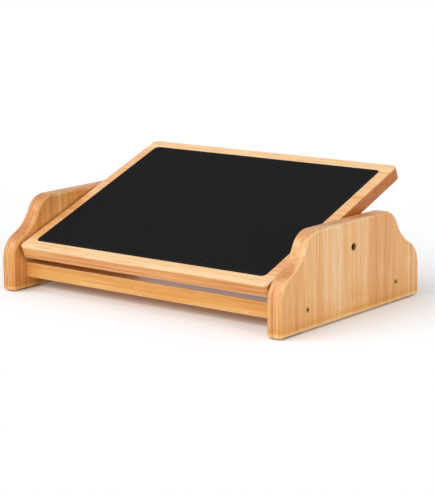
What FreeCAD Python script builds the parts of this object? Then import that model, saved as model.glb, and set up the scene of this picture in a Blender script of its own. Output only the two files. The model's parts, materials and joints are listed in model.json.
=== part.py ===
import FreeCAD, Part
import math
import os
import Sketcher

# Tilting footrest: a bamboo platform with a rubber mat, hung between two shaped side
# panels on a pair of pivot bolts. Two slats tie the panels together and stop the tilt.
# Millimetres. X runs across the width, Y from front to back, Z up. The origin is on the
# floor, below the middle of the footrest.

SIZES = [
    ("overall_width", 460, "across the outer faces of the side panels"),
    ("panel_depth", 300, "side panel, front to back"),
    ("panel_height", 120, "side panel, lower edge to flat top"),
    ("panel_thickness", 22, "side panel board"),
    ("panel_end_height", 40, "straight part of a panel's front and back ends"),
    ("shoulder_radius", 37, "rounded shoulder above the straight end"),
    ("hollow_radius", 58, "hollow curve between shoulder and crown"),
    ("crown_radius", 31, "rounded corner of the flat top"),
    ("flat_top_length", 144, "flat top between the two crowns"),
    ("panel_edge_radius", 4, "roundover along the edges of both panel faces"),
    ("pad_length", 40, "floor pad, along the panel"),
    ("pad_width", 12, "floor pad, across the panel"),
    ("pad_thickness", 1.5, "floor pad"),
    ("pad_corner_radius", 3, "floor pad corners"),
    ("pad_end_inset", 14, "from the panel's end to the pad"),
    ("slat_width", 62, "slat, front to back"),
    ("slat_thickness", 20, "slat"),
    ("slat_lift", 16, "from the panel's lower edge to the slat's underside"),
    ("slat_end_inset", 23, "from the panel's end to the slat's outer edge"),
    ("slat_edge_radius", 2, "roundover along the slat"),
    ("dowel_diameter", 8, "wooden dowel"),
    ("dowel_length", 30, "wooden dowel"),
    ("dowel_in_panel", 10, "dowel's depth in the panel"),
    ("dowel_spacing", 40, "between the two dowels of a slat end"),
    ("glue_gap", 0.1, "round and behind a glued dowel"),
    ("screw_diameter", 4, "wood screw shank"),
    ("screw_head_diameter", 8, "wood screw head, countersunk at ninety degrees"),
    ("screw_point_length", 3, "tapered point of a wood screw"),
    ("screw_tip_diameter", 0.8, "blunt tip of a wood screw"),
    ("screw_sink", 0.2, "screw head below the wood's surface"),
    ("screw_clearance", 0.25, "round the shank in the clamped piece"),
    ("cross_recess_span", 4.4, "cross recess of a screw head, tip to tip"),
    ("cross_recess_width", 1.1, "cross recess of a screw head, one slot"),
    ("cross_recess_depth", 1.6, "cross recess of a screw head"),
    ("slat_screw_length", 55, "screw through the panel into a slat"),
    ("block_screw_length", 30, "screw through a pivot block into the platform"),
    ("block_screw_spacing", 48, "between the two screws of a pivot block"),
    ("board_side_gap", 3, "running gap between the platform and a panel"),
    ("board_depth", 300, "platform, front to back"),
    ("board_thickness", 18, "platform board"),
    ("board_corner_radius", 8, "platform corners, seen from above"),
    ("board_edge_radius", 2, "roundover along the platform's edges"),
    ("board_setback", 7, "from the pivot axis back to the platform's middle"),
    ("mat_side_margin", 16, "bare wood beside the mat"),
    ("mat_end_margin", 17, "bare wood in front of and behind the mat"),
    ("mat_thickness", 2, "rubber mat"),
    ("mat_recess_depth", 1.5, "recess that the mat lies in"),
    ("mat_corner_radius", 7, "mat recess corners"),
    ("mat_gap", 0.2, "round the mat in its recess"),
    ("pivot_rise", 87, "from the panel's lower edge to the pivot axis"),
    ("tilt_angle", 21, "platform's tilt at rest, front edge down, in degrees"),
    ("block_width", 34, "pivot block, across the footrest"),
    ("block_length", 76, "pivot block, front to back"),
    ("block_thickness", 18, "pivot block, with the pivot axis at its middle"),
    ("block_inset", 1, "pivot block inside the platform's end"),
    ("block_corner_radius", 5, "pivot block corners"),
    ("bolt_diameter", 5, "pivot bolt shank"),
    ("bolt_length", 35, "pivot bolt under its head"),
    ("bolt_head_diameter", 8.5, "pivot bolt head"),
    ("bolt_head_height", 5, "pivot bolt head"),
    ("bolt_head_chamfer", 0.5, "pivot bolt head's rim"),
    ("bolt_socket_width", 4, "hexagon socket, across the flats"),
    ("bolt_socket_depth", 2.5, "hexagon socket"),
    ("bolt_recess", 2, "pivot bolt head below the panel's face"),
    ("bolt_head_clearance", 0.5, "round the bolt head in its counterbore"),
    ("bolt_thread_gap", 0.03, "round the bolt in the insert"),
    ("bush_diameter", 8, "pivot bush sleeve"),
    ("bush_flange_diameter", 16, "pivot bush flange"),
    ("bush_flange_thickness", 2, "pivot bush flange"),
    ("bush_fit_gap", 0.03, "round the bush sleeve in the panel"),
    ("running_clearance", 0.06, "round the bolt in the bush"),
    ("end_play", 0.1, "left at the bolt head and at the friction washer"),
    ("washer_diameter", 15, "friction washer"),
    ("washer_hole_gap", 0.3, "round the bolt in the friction washer"),
    ("insert_diameter", 8, "threaded insert in the pivot block"),
    ("insert_length", 14, "threaded insert"),
    ("insert_fit_gap", 0.03, "round the insert in the pivot block"),
    ("insert_collar_diameter", 11, "collar at the mouth of the insert"),
    ("insert_collar_thickness", 1.2, "collar at the mouth of the insert"),
    ("hole_bottom_gap", 2, "left ahead of a screw, bolt or insert in its hole"),
]

# Lengths worked out from the sizes above. The platform and what turns with it are drawn
# about the pivot axis, which is their own X axis.
INNER_HALF = "(sizes.overall_width / 2 - sizes.panel_thickness)"
SLAT_Y = "(sizes.panel_depth / 2 - sizes.slat_end_inset - sizes.slat_width / 2)"
SLAT_RISE = "(sizes.slat_lift + sizes.slat_thickness / 2)"
SLAT_Z = f"(sizes.pad_thickness + {SLAT_RISE})"
PAD_Y = "(sizes.panel_depth / 2 - sizes.pad_end_inset - sizes.pad_length / 2)"
PIVOT_Z = "(sizes.pad_thickness + sizes.pivot_rise)"
BOARD_HALF = f"({INNER_HALF} - sizes.board_side_gap)"
BOARD_UNDERSIDE = "(sizes.block_thickness / 2)"
BOARD_TOP = f"({BOARD_UNDERSIDE} + sizes.board_thickness)"
BLOCK_GAP = "(sizes.board_side_gap + sizes.block_inset)"
BLOCK_FACE = f"({INNER_HALF} - {BLOCK_GAP})"
BLOCK_MIDDLE = f"({BLOCK_FACE} - sizes.block_width / 2)"
COUNTERBORE_DEPTH = "(sizes.bolt_recess + sizes.bolt_head_height + sizes.end_play)"
BUSH_LENGTH = f"(sizes.panel_thickness - {COUNTERBORE_DEPTH})"
BOLT_REACH = f"(sizes.bolt_length - {BUSH_LENGTH} - sizes.end_play - {BLOCK_GAP})"
WASHER_THICKNESS = f"({BLOCK_GAP} - sizes.bush_flange_thickness - sizes.end_play)"
BLOCK_SCREW_DEPTH = "(sizes.block_screw_length + sizes.screw_sink - sizes.block_thickness)"
SLAT_SCREW_DEPTH = "(sizes.slat_screw_length + sizes.screw_sink - sizes.panel_thickness)"

RIGHT_ANGLE = 90
HALF_TURN = 180
HEX_STEP = 60
SAME_PLACE = 1e-4

doc = FreeCAD.newDocument("footrest")
sheet = doc.addObject("Spreadsheet::Sheet", "sizes")
pieces = []


def fill_sheet():
    for row, (alias, number, note) in enumerate(SIZES, 1):
        sheet.set(f"A{row}", alias)
        sheet.set(f"B{row}", str(number))
        sheet.set(f"C{row}", note)
        sheet.setAlias(f"B{row}", alias)
    doc.recompute()


def value(expression):
    return float(sheet.evalExpression(expression))


def new_body(name):
    body = doc.addObject("PartDesign::Body", name)
    body.Label = name
    pieces.append(body)
    return body


def origin_plane(body, role):
    return next(item for item in body.Origin.OriginFeatures if item.Role == role)


def new_sketch(body, name, role, raised=None):
    sketch = body.newObject("Sketcher::SketchObject", f"{body.Label}_{name}")
    sketch.AttachmentSupport = [(origin_plane(body, role), "")]
    sketch.MapMode = "FlatFace"
    if raised:
        sketch.setExpression("AttachmentOffset.Base.z", raised)
    return sketch


def constrain(sketch, kind, places, expression):
    index = sketch.addConstraint(Sketcher.Constraint(kind, *places, value(expression)))
    sketch.setExpression(f"Constraints[{index}]", expression)


def fix_point(sketch, geometry, point, across, up):
    """Holds a point at a place measured from the sketch's origin."""
    for kind, axis, expression in (("DistanceX", -2, across), ("DistanceY", -1, up)):
        if expression == "0":
            sketch.addConstraint(Sketcher.Constraint("PointOnObject", geometry, point, axis))
        else:
            constrain(sketch, kind, (-1, 1, geometry, point), expression)


def draw_outline(sketch, corners):
    """Closed outline of straight lines through corners given as pairs of expressions."""
    places = [FreeCAD.Vector(value(across), value(up), 0) for across, up in corners]
    count = len(places)
    for index, place in enumerate(places):
        sketch.addGeometry(Part.LineSegment(place, places[(index + 1) % count]))
    for index in range(count):
        sketch.addConstraint(Sketcher.Constraint("Coincident", index, 2, (index + 1) % count, 1))
    for index, (across, up) in enumerate(corners):
        fix_point(sketch, index, 1, across, up)


def draw_rectangle(sketch, low_across, low_up, high_across, high_up):
    draw_outline(sketch, [
        (low_across, low_up), (high_across, low_up), (high_across, high_up), (low_across, high_up),
    ])


def polar(radius, degrees):
    """Place at an angle from the sketch's horizontal axis, as a pair of expressions."""
    across = "0" if degrees % HALF_TURN == RIGHT_ANGLE else f"{radius} * cos({degrees}deg)"
    up = "0" if degrees % HALF_TURN == 0 else f"{radius} * sin({degrees}deg)"
    return across, up


def draw_circle(sketch, across, up, diameter):
    centre = FreeCAD.Vector(value(across), value(up), 0)
    circle = Part.Circle(centre, FreeCAD.Vector(0, 0, 1), value(diameter) / 2)
    index = sketch.addGeometry(circle)
    constrain(sketch, "Diameter", (index,), diameter)
    fix_point(sketch, index, 3, across, up)


def finish_feature(body, feature):
    """Makes a feature the body's last one and builds it."""
    body.Tip = feature
    doc.recompute()
    return feature


def finish_cut(body, feature):
    """Builds a cut and makes sure that it takes wood or metal away."""
    before = feature.BaseFeature.Shape.Volume
    finish_feature(body, feature)
    if not feature.Shape.Volume < before:
        raise RuntimeError(f"{feature.Name} cuts nothing")
    return feature


def pad(body, sketch, length, sides="One side"):
    feature = body.newObject("PartDesign::Pad", f"{sketch.Name}_pad")
    feature.Profile = sketch
    feature.SideType = sides
    feature.setExpression("Length", length)
    return finish_feature(body, feature)


def revolve(body, sketch):
    """Turns a profile about the sketch's horizontal axis."""
    feature = body.newObject("PartDesign::Revolution", f"{sketch.Name}_turned")
    feature.Profile = sketch
    feature.ReferenceAxis = (sketch, ["H_Axis"])
    return finish_feature(body, feature)


def pocket(body, sketch, depth, along_normal=False):
    """Cuts against the sketch's normal, or along it."""
    feature = body.newObject("PartDesign::Pocket", f"{sketch.Name}_pocket")
    feature.Profile = sketch
    feature.Reversed = along_normal
    feature.setExpression("Length", depth)
    return finish_cut(body, feature)


def drill(body, sketch, diameter, cut_type, cut_diameter, cut_depth=None, along_normal=False):
    """Through hole with a countersink or a counterbore at the sketch's plane."""
    feature = body.newObject("PartDesign::Hole", f"{sketch.Name}_hole")
    feature.Profile = sketch
    doc.recompute()
    feature.ThreadType = "None"
    feature.DepthType = "ThroughAll"
    feature.Reversed = along_normal
    feature.setExpression("Diameter", diameter)
    feature.HoleCutType = cut_type
    feature.HoleCutCustomValues = True
    feature.setExpression("HoleCutDiameter", cut_diameter)
    if cut_depth:
        feature.setExpression("HoleCutDepth", cut_depth)
    else:
        feature.HoleCutCountersinkAngle = RIGHT_ANGLE
    return finish_cut(body, feature)


def mirror(body, originals, role, name):
    feature = body.newObject("PartDesign::Mirrored", f"{body.Label}_{name}")
    feature.Originals = originals
    feature.MirrorPlane = (origin_plane(body, role), [""])
    return finish_feature(body, feature)


def round_edges(body, name, radius, wanted):
    """Fillets the edges of the body's last feature for which wanted(edge) holds."""
    base = body.Tip
    names = [f"Edge{index}" for index, edge in enumerate(base.Shape.Edges, 1) if wanted(edge)]
    if not names:
        raise RuntimeError(f"{body.Label}: no edges to round for {name}")
    feature = body.newObject("PartDesign::Fillet", f"{body.Label}_{name}")
    feature.Base = (base, names)
    feature.setExpression("Radius", radius)
    return finish_feature(body, feature)


def same_place(first, second):
    return math.isclose(first, second, abs_tol=SAME_PLACE)


def lies_at(axis, expressions):
    """Test for edges that lie wholly in one of the planes across an axis."""
    levels = [value(expression) for expression in expressions]

    def wanted(edge):
        box = edge.BoundBox
        low, high = {"x": (box.XMin, box.XMax), "z": (box.ZMin, box.ZMax)}[axis]
        return any(same_place(low, level) and same_place(high, level) for level in levels)
    return wanted


def runs_along(axis):
    """Test for straight edges parallel to an axis."""
    def wanted(edge):
        box = edge.BoundBox
        lengths = {"x": box.XLength, "y": box.YLength, "z": box.ZLength}
        others = [length for name, length in lengths.items() if name != axis]
        return lengths[axis] > SAME_PLACE and max(others) < SAME_PLACE
    return wanted


def place(body, across="0", along="0", up="0", turned=False):
    """Sets a fixed piece down, turned half round the vertical for the left side."""
    angle = HALF_TURN if turned else 0
    body.setExpression(
        "Placement", f"placement(vector({across};{along};{up});rotation(vector(0;0;1);{angle}))")


def place_tilted(body, across="0", along="0", up="0", turned=False):
    """Sets down a piece that turns with the platform, at a place measured from the pivot."""
    angle = HALF_TURN if turned else 0
    body.setExpression(
        "Placement",
        f"placement(vector(0;0;{PIVOT_Z});rotation(vector(1;0;0);sizes.tilt_angle))"
        f" * placement(vector({across};{along};{up});rotation(vector(0;0;1);{angle}))")


def draw_half_panel(sketch):
    """Back half of a side panel: straight end, shoulder, hollow, crown and flat top."""
    half_depth = value("sizes.panel_depth / 2")
    end_height = value("sizes.panel_end_height")
    height = value("sizes.panel_height")
    half_top = value("sizes.flat_top_length / 2")
    shoulder = value("sizes.shoulder_radius")
    hollow = value("sizes.hollow_radius")
    crown = value("sizes.crown_radius")
    shoulder_centre = FreeCAD.Vector(half_depth - shoulder, end_height, 0)
    crown_centre = FreeCAD.Vector(half_top, height - crown, 0)
    # The hollow's centre lies where circles about the two other centres cross, outside the panel.
    reach_shoulder = shoulder + hollow
    reach_crown = crown + hollow
    span = crown_centre - shoulder_centre
    along = (reach_shoulder ** 2 - reach_crown ** 2 + span.Length ** 2) / (2 * span.Length)
    aside = math.sqrt(reach_shoulder ** 2 - along ** 2)
    direction = FreeCAD.Vector(span).normalize()
    outward = FreeCAD.Vector(direction.y, -direction.x, 0)
    hollow_centre = shoulder_centre + direction * along + outward * aside
    to_shoulder = hollow_centre - shoulder_centre
    to_crown = hollow_centre - crown_centre
    shoulder_end = math.atan2(to_shoulder.y, to_shoulder.x)
    crown_start = math.atan2(to_crown.y, to_crown.x)

    normal = FreeCAD.Vector(0, 0, 1)
    low_middle = FreeCAD.Vector(0, 0, 0)
    low_end = FreeCAD.Vector(half_depth, 0, 0)
    high_end = FreeCAD.Vector(half_depth, end_height, 0)
    top_end = FreeCAD.Vector(half_top, height, 0)
    top_middle = FreeCAD.Vector(0, height, 0)
    shoulder_circle = Part.Circle(shoulder_centre, normal, shoulder)
    hollow_circle = Part.Circle(hollow_centre, normal, hollow)
    crown_circle = Part.Circle(crown_centre, normal, crown)
    bottom = sketch.addGeometry(Part.LineSegment(low_middle, low_end))
    end = sketch.addGeometry(Part.LineSegment(low_end, high_end))
    shoulder_arc = sketch.addGeometry(Part.ArcOfCircle(shoulder_circle, 0, shoulder_end))
    hollow_arc = sketch.addGeometry(
        Part.ArcOfCircle(hollow_circle, crown_start + math.pi, shoulder_end + math.pi))
    crown_arc = sketch.addGeometry(Part.ArcOfCircle(crown_circle, crown_start, math.pi / 2))
    top = sketch.addGeometry(Part.LineSegment(top_end, top_middle))
    middle = sketch.addGeometry(Part.LineSegment(top_middle, low_middle))

    for first, first_point, second, second_point in (
            (bottom, 2, end, 1), (top, 2, middle, 1), (middle, 2, bottom, 1), (bottom, 1, -1, 1)):
        sketch.addConstraint(
            Sketcher.Constraint("Coincident", first, first_point, second, second_point))
    for first, first_point, second, second_point in (
            (end, 2, shoulder_arc, 1), (shoulder_arc, 2, hollow_arc, 2),
            (hollow_arc, 1, crown_arc, 1), (crown_arc, 2, top, 1)):
        sketch.addConstraint(
            Sketcher.Constraint("Tangent", first, first_point, second, second_point))
    sketch.addConstraint(Sketcher.Constraint("Horizontal", bottom))
    sketch.addConstraint(Sketcher.Constraint("Horizontal", top))
    sketch.addConstraint(Sketcher.Constraint("Vertical", end))
    sketch.addConstraint(Sketcher.Constraint("Vertical", middle))
    constrain(sketch, "DistanceX", (bottom, 1, bottom, 2), "sizes.panel_depth / 2")
    constrain(sketch, "DistanceY", (end, 1, end, 2), "sizes.panel_end_height")
    constrain(sketch, "DistanceX", (top, 2, top, 1), "sizes.flat_top_length / 2")
    constrain(sketch, "DistanceY", (bottom, 1, top, 2), "sizes.panel_height")
    constrain(sketch, "Radius", (shoulder_arc,), "sizes.shoulder_radius")
    constrain(sketch, "Radius", (hollow_arc,), "sizes.hollow_radius")
    constrain(sketch, "Radius", (crown_arc,), "sizes.crown_radius")


def make_side_panel(name, left):
    """Drawn with its inner face in the YZ plane and its lower edge at the origin."""
    body = new_body(name)
    profile = new_sketch(body, "outline", "YZ_Plane")
    draw_half_panel(profile)
    half = pad(body, profile, "sizes.panel_thickness")
    mirror(body, [half], "XZ_Plane", "front_half")
    faces = lies_at("x", ["0 * sizes.panel_thickness", "sizes.panel_thickness"])
    round_edges(body, "roundover", "sizes.panel_edge_radius", faces)

    pivot = new_sketch(body, "pivot", "YZ_Plane", "sizes.panel_thickness")
    draw_circle(pivot, "0", "sizes.pivot_rise", "sizes.bush_diameter")
    drill(body, pivot, "sizes.bush_diameter + 2 * sizes.bush_fit_gap", "Counterbore",
          "sizes.bolt_head_diameter + 2 * sizes.bolt_head_clearance", COUNTERBORE_DEPTH)

    screw = new_sketch(body, "slat_screw", "YZ_Plane", "sizes.panel_thickness")
    draw_circle(screw, SLAT_Y, SLAT_RISE, "sizes.screw_diameter")
    screw_hole = drill(
        body, screw, "sizes.screw_diameter + 2 * sizes.screw_clearance", "Countersink",
        "sizes.screw_head_diameter + 2 * sizes.screw_sink")

    dowels = new_sketch(body, "dowels", "YZ_Plane")
    for side in ("-", "+"):
        draw_circle(dowels, f"{SLAT_Y} {side} sizes.dowel_spacing / 2", SLAT_RISE,
                    "sizes.dowel_diameter + 2 * sizes.glue_gap")
    dowel_holes = pocket(body, dowels, "sizes.dowel_in_panel + sizes.glue_gap", along_normal=True)
    mirror(body, [screw_hole, dowel_holes], "XZ_Plane", "front_holes")
    across = f"-{INNER_HALF}" if left else INNER_HALF
    place(body, across, "0", "sizes.pad_thickness", turned=left)


def make_floor_pad(name, side, end):
    body = new_body(name)
    sketch = new_sketch(body, "outline", "XY_Plane")
    draw_rectangle(sketch, "-sizes.pad_width / 2", "-sizes.pad_length / 2",
                   "sizes.pad_width / 2", "sizes.pad_length / 2")
    pad(body, sketch, "sizes.pad_thickness")
    round_edges(body, "corners", "sizes.pad_corner_radius", runs_along("z"))
    place(body, f"{side} * (sizes.overall_width / 2 - sizes.panel_thickness / 2)",
          f"{end} * {PAD_Y}", "0")


def make_slat(name, end):
    """Drawn about its own middle, with the same holes at both ends."""
    body = new_body(name)
    sketch = new_sketch(body, "section", "YZ_Plane")
    draw_rectangle(sketch, "-sizes.slat_width / 2", "-sizes.slat_thickness / 2",
                   "sizes.slat_width / 2", "sizes.slat_thickness / 2")
    pad(body, sketch, f"2 * {INNER_HALF}", sides="Symmetric")
    round_edges(body, "roundover", "sizes.slat_edge_radius", runs_along("x"))

    screw = new_sketch(body, "screw", "YZ_Plane", INNER_HALF)
    draw_circle(screw, "0", "0", "sizes.screw_diameter")
    screw_hole = pocket(body, screw, f"{SLAT_SCREW_DEPTH} + sizes.hole_bottom_gap")
    dowels = new_sketch(body, "dowels", "YZ_Plane", INNER_HALF)
    for side in ("-", ""):
        draw_circle(dowels, f"{side}sizes.dowel_spacing / 2", "0",
                    "sizes.dowel_diameter + 2 * sizes.glue_gap")
    dowel_holes = pocket(
        body, dowels, "sizes.dowel_length - sizes.dowel_in_panel + sizes.glue_gap")
    mirror(body, [screw_hole, dowel_holes], "YZ_Plane", "left_holes")
    place(body, "0", f"{end} * {SLAT_Y}", SLAT_Z)


def make_dowel(name, left, end, side):
    """A round peg along X, with its middle at the origin."""
    body = new_body(name)
    sketch = new_sketch(body, "section", "YZ_Plane")
    draw_circle(sketch, "0", "0", "sizes.dowel_diameter")
    pad(body, sketch, "sizes.dowel_length", sides="Symmetric")
    sign = "-" if left else ""
    across = f"{sign}({INNER_HALF} + sizes.dowel_in_panel - sizes.dowel_length / 2)"
    place(body, across, f"{end} * {SLAT_Y} {side} sizes.dowel_spacing / 2", SLAT_Z)


def make_wood_screw(name, length):
    """Countersunk screw along X, with the head's face at the origin and the point towards -X."""
    body = new_body(name)
    profile = new_sketch(body, "profile", "XY_Plane")
    head = "sizes.screw_head_diameter / 2"
    shank = "sizes.screw_diameter / 2"
    cone = "(sizes.screw_head_diameter / 2 - sizes.screw_diameter / 2)"
    tip = "sizes.screw_tip_diameter / 2"
    draw_outline(profile, [
        ("0", "0"), ("0", head), (f"-{cone}", shank),
        (f"-({length} - sizes.screw_point_length)", shank), (f"-{length}", tip),
        (f"-{length}", "0"),
    ])
    revolve(body, profile)
    recess = new_sketch(body, "recess", "YZ_Plane")
    span = "sizes.cross_recess_span / 2"
    slot = "sizes.cross_recess_width / 2"
    draw_outline(recess, [
        (span, f"-{slot}"), (span, slot), (slot, slot), (slot, span),
        (f"-{slot}", span), (f"-{slot}", slot), (f"-{span}", slot), (f"-{span}", f"-{slot}"),
        (f"-{slot}", f"-{slot}"), (f"-{slot}", f"-{span}"), (slot, f"-{span}"), (slot, f"-{slot}"),
    ])
    pocket(body, recess, "sizes.cross_recess_depth")
    return body


def make_slat_screw(name, left, end):
    body = make_wood_screw(name, "sizes.slat_screw_length")
    sign = "-" if left else ""
    place(body, f"{sign}(sizes.overall_width / 2 - sizes.screw_sink)", f"{end} * {SLAT_Y}",
          SLAT_Z, turned=left)


def make_pivot_bush(name, left):
    """Flanged sleeve along X: the flange lies against the panel's inner face at the origin."""
    body = new_body(name)
    sketch = new_sketch(body, "profile", "XY_Plane")
    bore = "(sizes.bolt_diameter / 2 + sizes.running_clearance)"
    sleeve = "sizes.bush_diameter / 2"
    flange = "sizes.bush_flange_diameter / 2"
    draw_outline(sketch, [
        ("-sizes.bush_flange_thickness", bore), (BUSH_LENGTH, bore), (BUSH_LENGTH, sleeve),
        ("0", sleeve), ("0", flange), ("-sizes.bush_flange_thickness", flange),
    ])
    revolve(body, sketch)
    across = f"-{INNER_HALF}" if left else INNER_HALF
    place(body, across, "0", PIVOT_Z, turned=left)


def make_platform_board(name):
    """Bamboo board with a shallow recess for the mat in its upper face."""
    body = new_body(name)
    front = "(sizes.board_setback - sizes.board_depth / 2)"
    back = "(sizes.board_setback + sizes.board_depth / 2)"
    outline = new_sketch(body, "outline", "XY_Plane", BOARD_UNDERSIDE)
    draw_rectangle(outline, f"-{BOARD_HALF}", front, BOARD_HALF, back)
    pad(body, outline, "sizes.board_thickness")
    round_edges(body, "corners", "sizes.board_corner_radius", runs_along("z"))
    faces = lies_at("z", [BOARD_UNDERSIDE, BOARD_TOP])
    round_edges(body, "roundover", "sizes.board_edge_radius", faces)

    recess = new_sketch(body, "recess", "XY_Plane", BOARD_TOP)
    side = f"({BOARD_HALF} - sizes.mat_side_margin)"
    draw_rectangle(recess, f"-{side}", f"{front} + sizes.mat_end_margin",
                   side, f"{back} - sizes.mat_end_margin")
    pocket(body, recess, "sizes.mat_recess_depth")
    upright = runs_along("z")
    recess_depth = value("sizes.mat_recess_depth")
    round_edges(body, "recess_corners", "sizes.mat_corner_radius",
                lambda edge: upright(edge) and same_place(edge.Length, recess_depth))

    screws = new_sketch(body, "block_screws", "XY_Plane", BOARD_UNDERSIDE)
    for across in (f"-{BLOCK_MIDDLE}", BLOCK_MIDDLE):
        for along in ("-sizes.block_screw_spacing / 2", "sizes.block_screw_spacing / 2"):
            draw_circle(screws, across, along, "sizes.screw_diameter")
    pocket(body, screws, f"{BLOCK_SCREW_DEPTH} + sizes.hole_bottom_gap / 2", along_normal=True)
    place_tilted(body)


def make_mat(name):
    body = new_body(name)
    sketch = new_sketch(body, "outline", "XY_Plane", f"{BOARD_TOP} - sizes.mat_recess_depth")
    side = f"({BOARD_HALF} - sizes.mat_side_margin - sizes.mat_gap)"
    reach = "(sizes.board_depth / 2 - sizes.mat_end_margin - sizes.mat_gap)"
    draw_rectangle(sketch, f"-{side}", f"sizes.board_setback - {reach}",
                   side, f"sizes.board_setback + {reach}")
    pad(body, sketch, "sizes.mat_thickness")
    round_edges(body, "corners", "sizes.mat_corner_radius - sizes.mat_gap", runs_along("z"))
    place_tilted(body)


def make_pivot_block(name, left):
    """Wooden block under the platform's end, with the pivot axis through its middle."""
    body = new_body(name)
    sketch = new_sketch(body, "outline", "XY_Plane")
    draw_rectangle(sketch, f"{BLOCK_FACE} - sizes.block_width", "-sizes.block_length / 2",
                   BLOCK_FACE, "sizes.block_length / 2")
    pad(body, sketch, "sizes.block_thickness", sides="Symmetric")
    inner_face = value(f"{BLOCK_FACE} - sizes.block_width")
    upright = runs_along("z")
    round_edges(body, "inner_corners", "sizes.block_corner_radius",
                lambda edge: upright(edge) and same_place(edge.BoundBox.XMin, inner_face))

    collar = new_sketch(body, "insert_collar", "YZ_Plane", BLOCK_FACE)
    draw_circle(collar, "0", "0", "sizes.insert_collar_diameter + 2 * sizes.insert_fit_gap")
    pocket(body, collar, "sizes.insert_collar_thickness")
    insert = new_sketch(body, "insert", "YZ_Plane", BLOCK_FACE)
    draw_circle(insert, "0", "0", "sizes.insert_diameter + 2 * sizes.insert_fit_gap")
    pocket(body, insert, f"max(sizes.insert_length; {BOLT_REACH}) + sizes.hole_bottom_gap")

    screws = new_sketch(body, "screws", "XY_Plane", "-sizes.block_thickness / 2")
    for along in ("-sizes.block_screw_spacing / 2", "sizes.block_screw_spacing / 2"):
        draw_circle(screws, BLOCK_MIDDLE, along, "sizes.screw_diameter")
    drill(body, screws, "sizes.screw_diameter + 2 * sizes.screw_clearance", "Countersink",
          "sizes.screw_head_diameter + 2 * sizes.screw_sink",
          along_normal=True)
    place_tilted(body, turned=left)


def make_block_screw(name, left, end):
    """Turned to stand along Z under the block, with its point up."""
    body = make_wood_screw(name, "sizes.block_screw_length")
    side = "-" if left else ""
    body.setExpression(
        "Placement",
        f"placement(vector(0;0;{PIVOT_Z});rotation(vector(1;0;0);sizes.tilt_angle))"
        f" * placement(vector({side}{BLOCK_MIDDLE};{end} * sizes.block_screw_spacing / 2;"
        f"sizes.screw_sink - sizes.block_thickness / 2);rotation(vector(0;1;0);{RIGHT_ANGLE}))")


def make_pivot_bolt(name, left):
    """Socket head bolt along X, with the head's face at the origin and the tip towards -X."""
    body = new_body(name)
    profile = new_sketch(body, "profile", "XY_Plane")
    head = "sizes.bolt_head_diameter / 2"
    shank = "sizes.bolt_diameter / 2"
    tip = "(sizes.bolt_head_height + sizes.bolt_length)"
    draw_outline(profile, [
        ("0", "0"), ("0", f"{head} - sizes.bolt_head_chamfer"), ("-sizes.bolt_head_chamfer", head),
        ("-sizes.bolt_head_height", head), ("-sizes.bolt_head_height", shank),
        (f"-{tip}", shank), (f"-{tip}", "0"),
    ])
    revolve(body, profile)
    socket = new_sketch(body, "socket", "YZ_Plane")
    corner = f"sizes.bolt_socket_width / 2 / cos({HEX_STEP / 2}deg)"
    draw_outline(socket, [polar(corner, turn) for turn in range(0, 2 * HALF_TURN, HEX_STEP)])
    pocket(body, socket, "sizes.bolt_socket_depth")
    sign = "-" if left else ""
    place(body, f"{sign}(sizes.overall_width / 2 - sizes.bolt_recess)", "0", PIVOT_Z, turned=left)


def make_friction_washer(name, left):
    """Flat ring along X, with the face towards the pivot block at the origin."""
    body = new_body(name)
    sketch = new_sketch(body, "profile", "XY_Plane")
    bore = "(sizes.bolt_diameter / 2 + sizes.washer_hole_gap)"
    rim = "sizes.washer_diameter / 2"
    draw_rectangle(sketch, "0", bore, WASHER_THICKNESS, rim)
    revolve(body, sketch)
    across = f"-{BLOCK_FACE}" if left else BLOCK_FACE
    place(body, across, "0", PIVOT_Z, turned=left)


def make_threaded_insert(name, left):
    """Collared sleeve along X, with its mouth at the origin and its body towards -X."""
    body = new_body(name)
    sketch = new_sketch(body, "profile", "XY_Plane")
    bore = "(sizes.bolt_diameter / 2 + sizes.bolt_thread_gap)"
    collar = "sizes.insert_collar_diameter / 2"
    sleeve = "sizes.insert_diameter / 2"
    draw_outline(sketch, [
        ("0", bore), ("0", collar), ("-sizes.insert_collar_thickness", collar),
        ("-sizes.insert_collar_thickness", sleeve), ("-sizes.insert_length", sleeve),
        ("-sizes.insert_length", bore),
    ])
    revolve(body, sketch)
    across = f"-{BLOCK_FACE}" if left else BLOCK_FACE
    place(body, across, "0", PIVOT_Z, turned=left)


def check_document():
    for item in doc.Objects:
        if "Invalid" in item.State or "Error" in item.State:
            raise RuntimeError(f"{item.Name} failed: {item.State}")
    for piece in pieces:
        if piece.Shape.isNull() or not piece.Shape.isValid():
            raise RuntimeError(f"{piece.Label} has no valid shape")


def export_pieces():
    os.makedirs("parts", exist_ok=True)
    for piece in pieces:
        piece.Shape.exportStep(f"parts/{piece.Label}.step")
        print(f"{piece.Label}: {piece.Shape.Volume:.1f} mm3")


fill_sheet()

make_platform_board("platform_board")
make_mat("anti_slip_mat")
for side_name, is_left in (("left", True), ("right", False)):
    side_sign = "-1" if is_left else "1"
    make_side_panel(f"{side_name}_side_panel", is_left)
    make_pivot_bush(f"{side_name}_pivot_bush", is_left)
    make_pivot_bolt(f"{side_name}_pivot_bolt", is_left)
    make_friction_washer(f"{side_name}_friction_washer", is_left)
    make_threaded_insert(f"{side_name}_threaded_insert", is_left)
    make_pivot_block(f"{side_name}_pivot_block", is_left)
    for end_name, end_sign in (("front", "-1"), ("rear", "1")):
        corner_name = f"{end_name}_{side_name}"
        make_floor_pad(f"{corner_name}_floor_pad", side_sign, end_sign)
        make_slat_screw(f"{corner_name}_slat_screw", is_left, end_sign)
        make_block_screw(f"{corner_name}_block_screw", is_left, end_sign)
        for number, dowel_side in ((1, "-"), (2, "+")):
            make_dowel(f"{corner_name}_dowel_{number}", is_left, end_sign, dowel_side)
make_slat("front_slat", "-1")
make_slat("rear_slat", "1")

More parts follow.
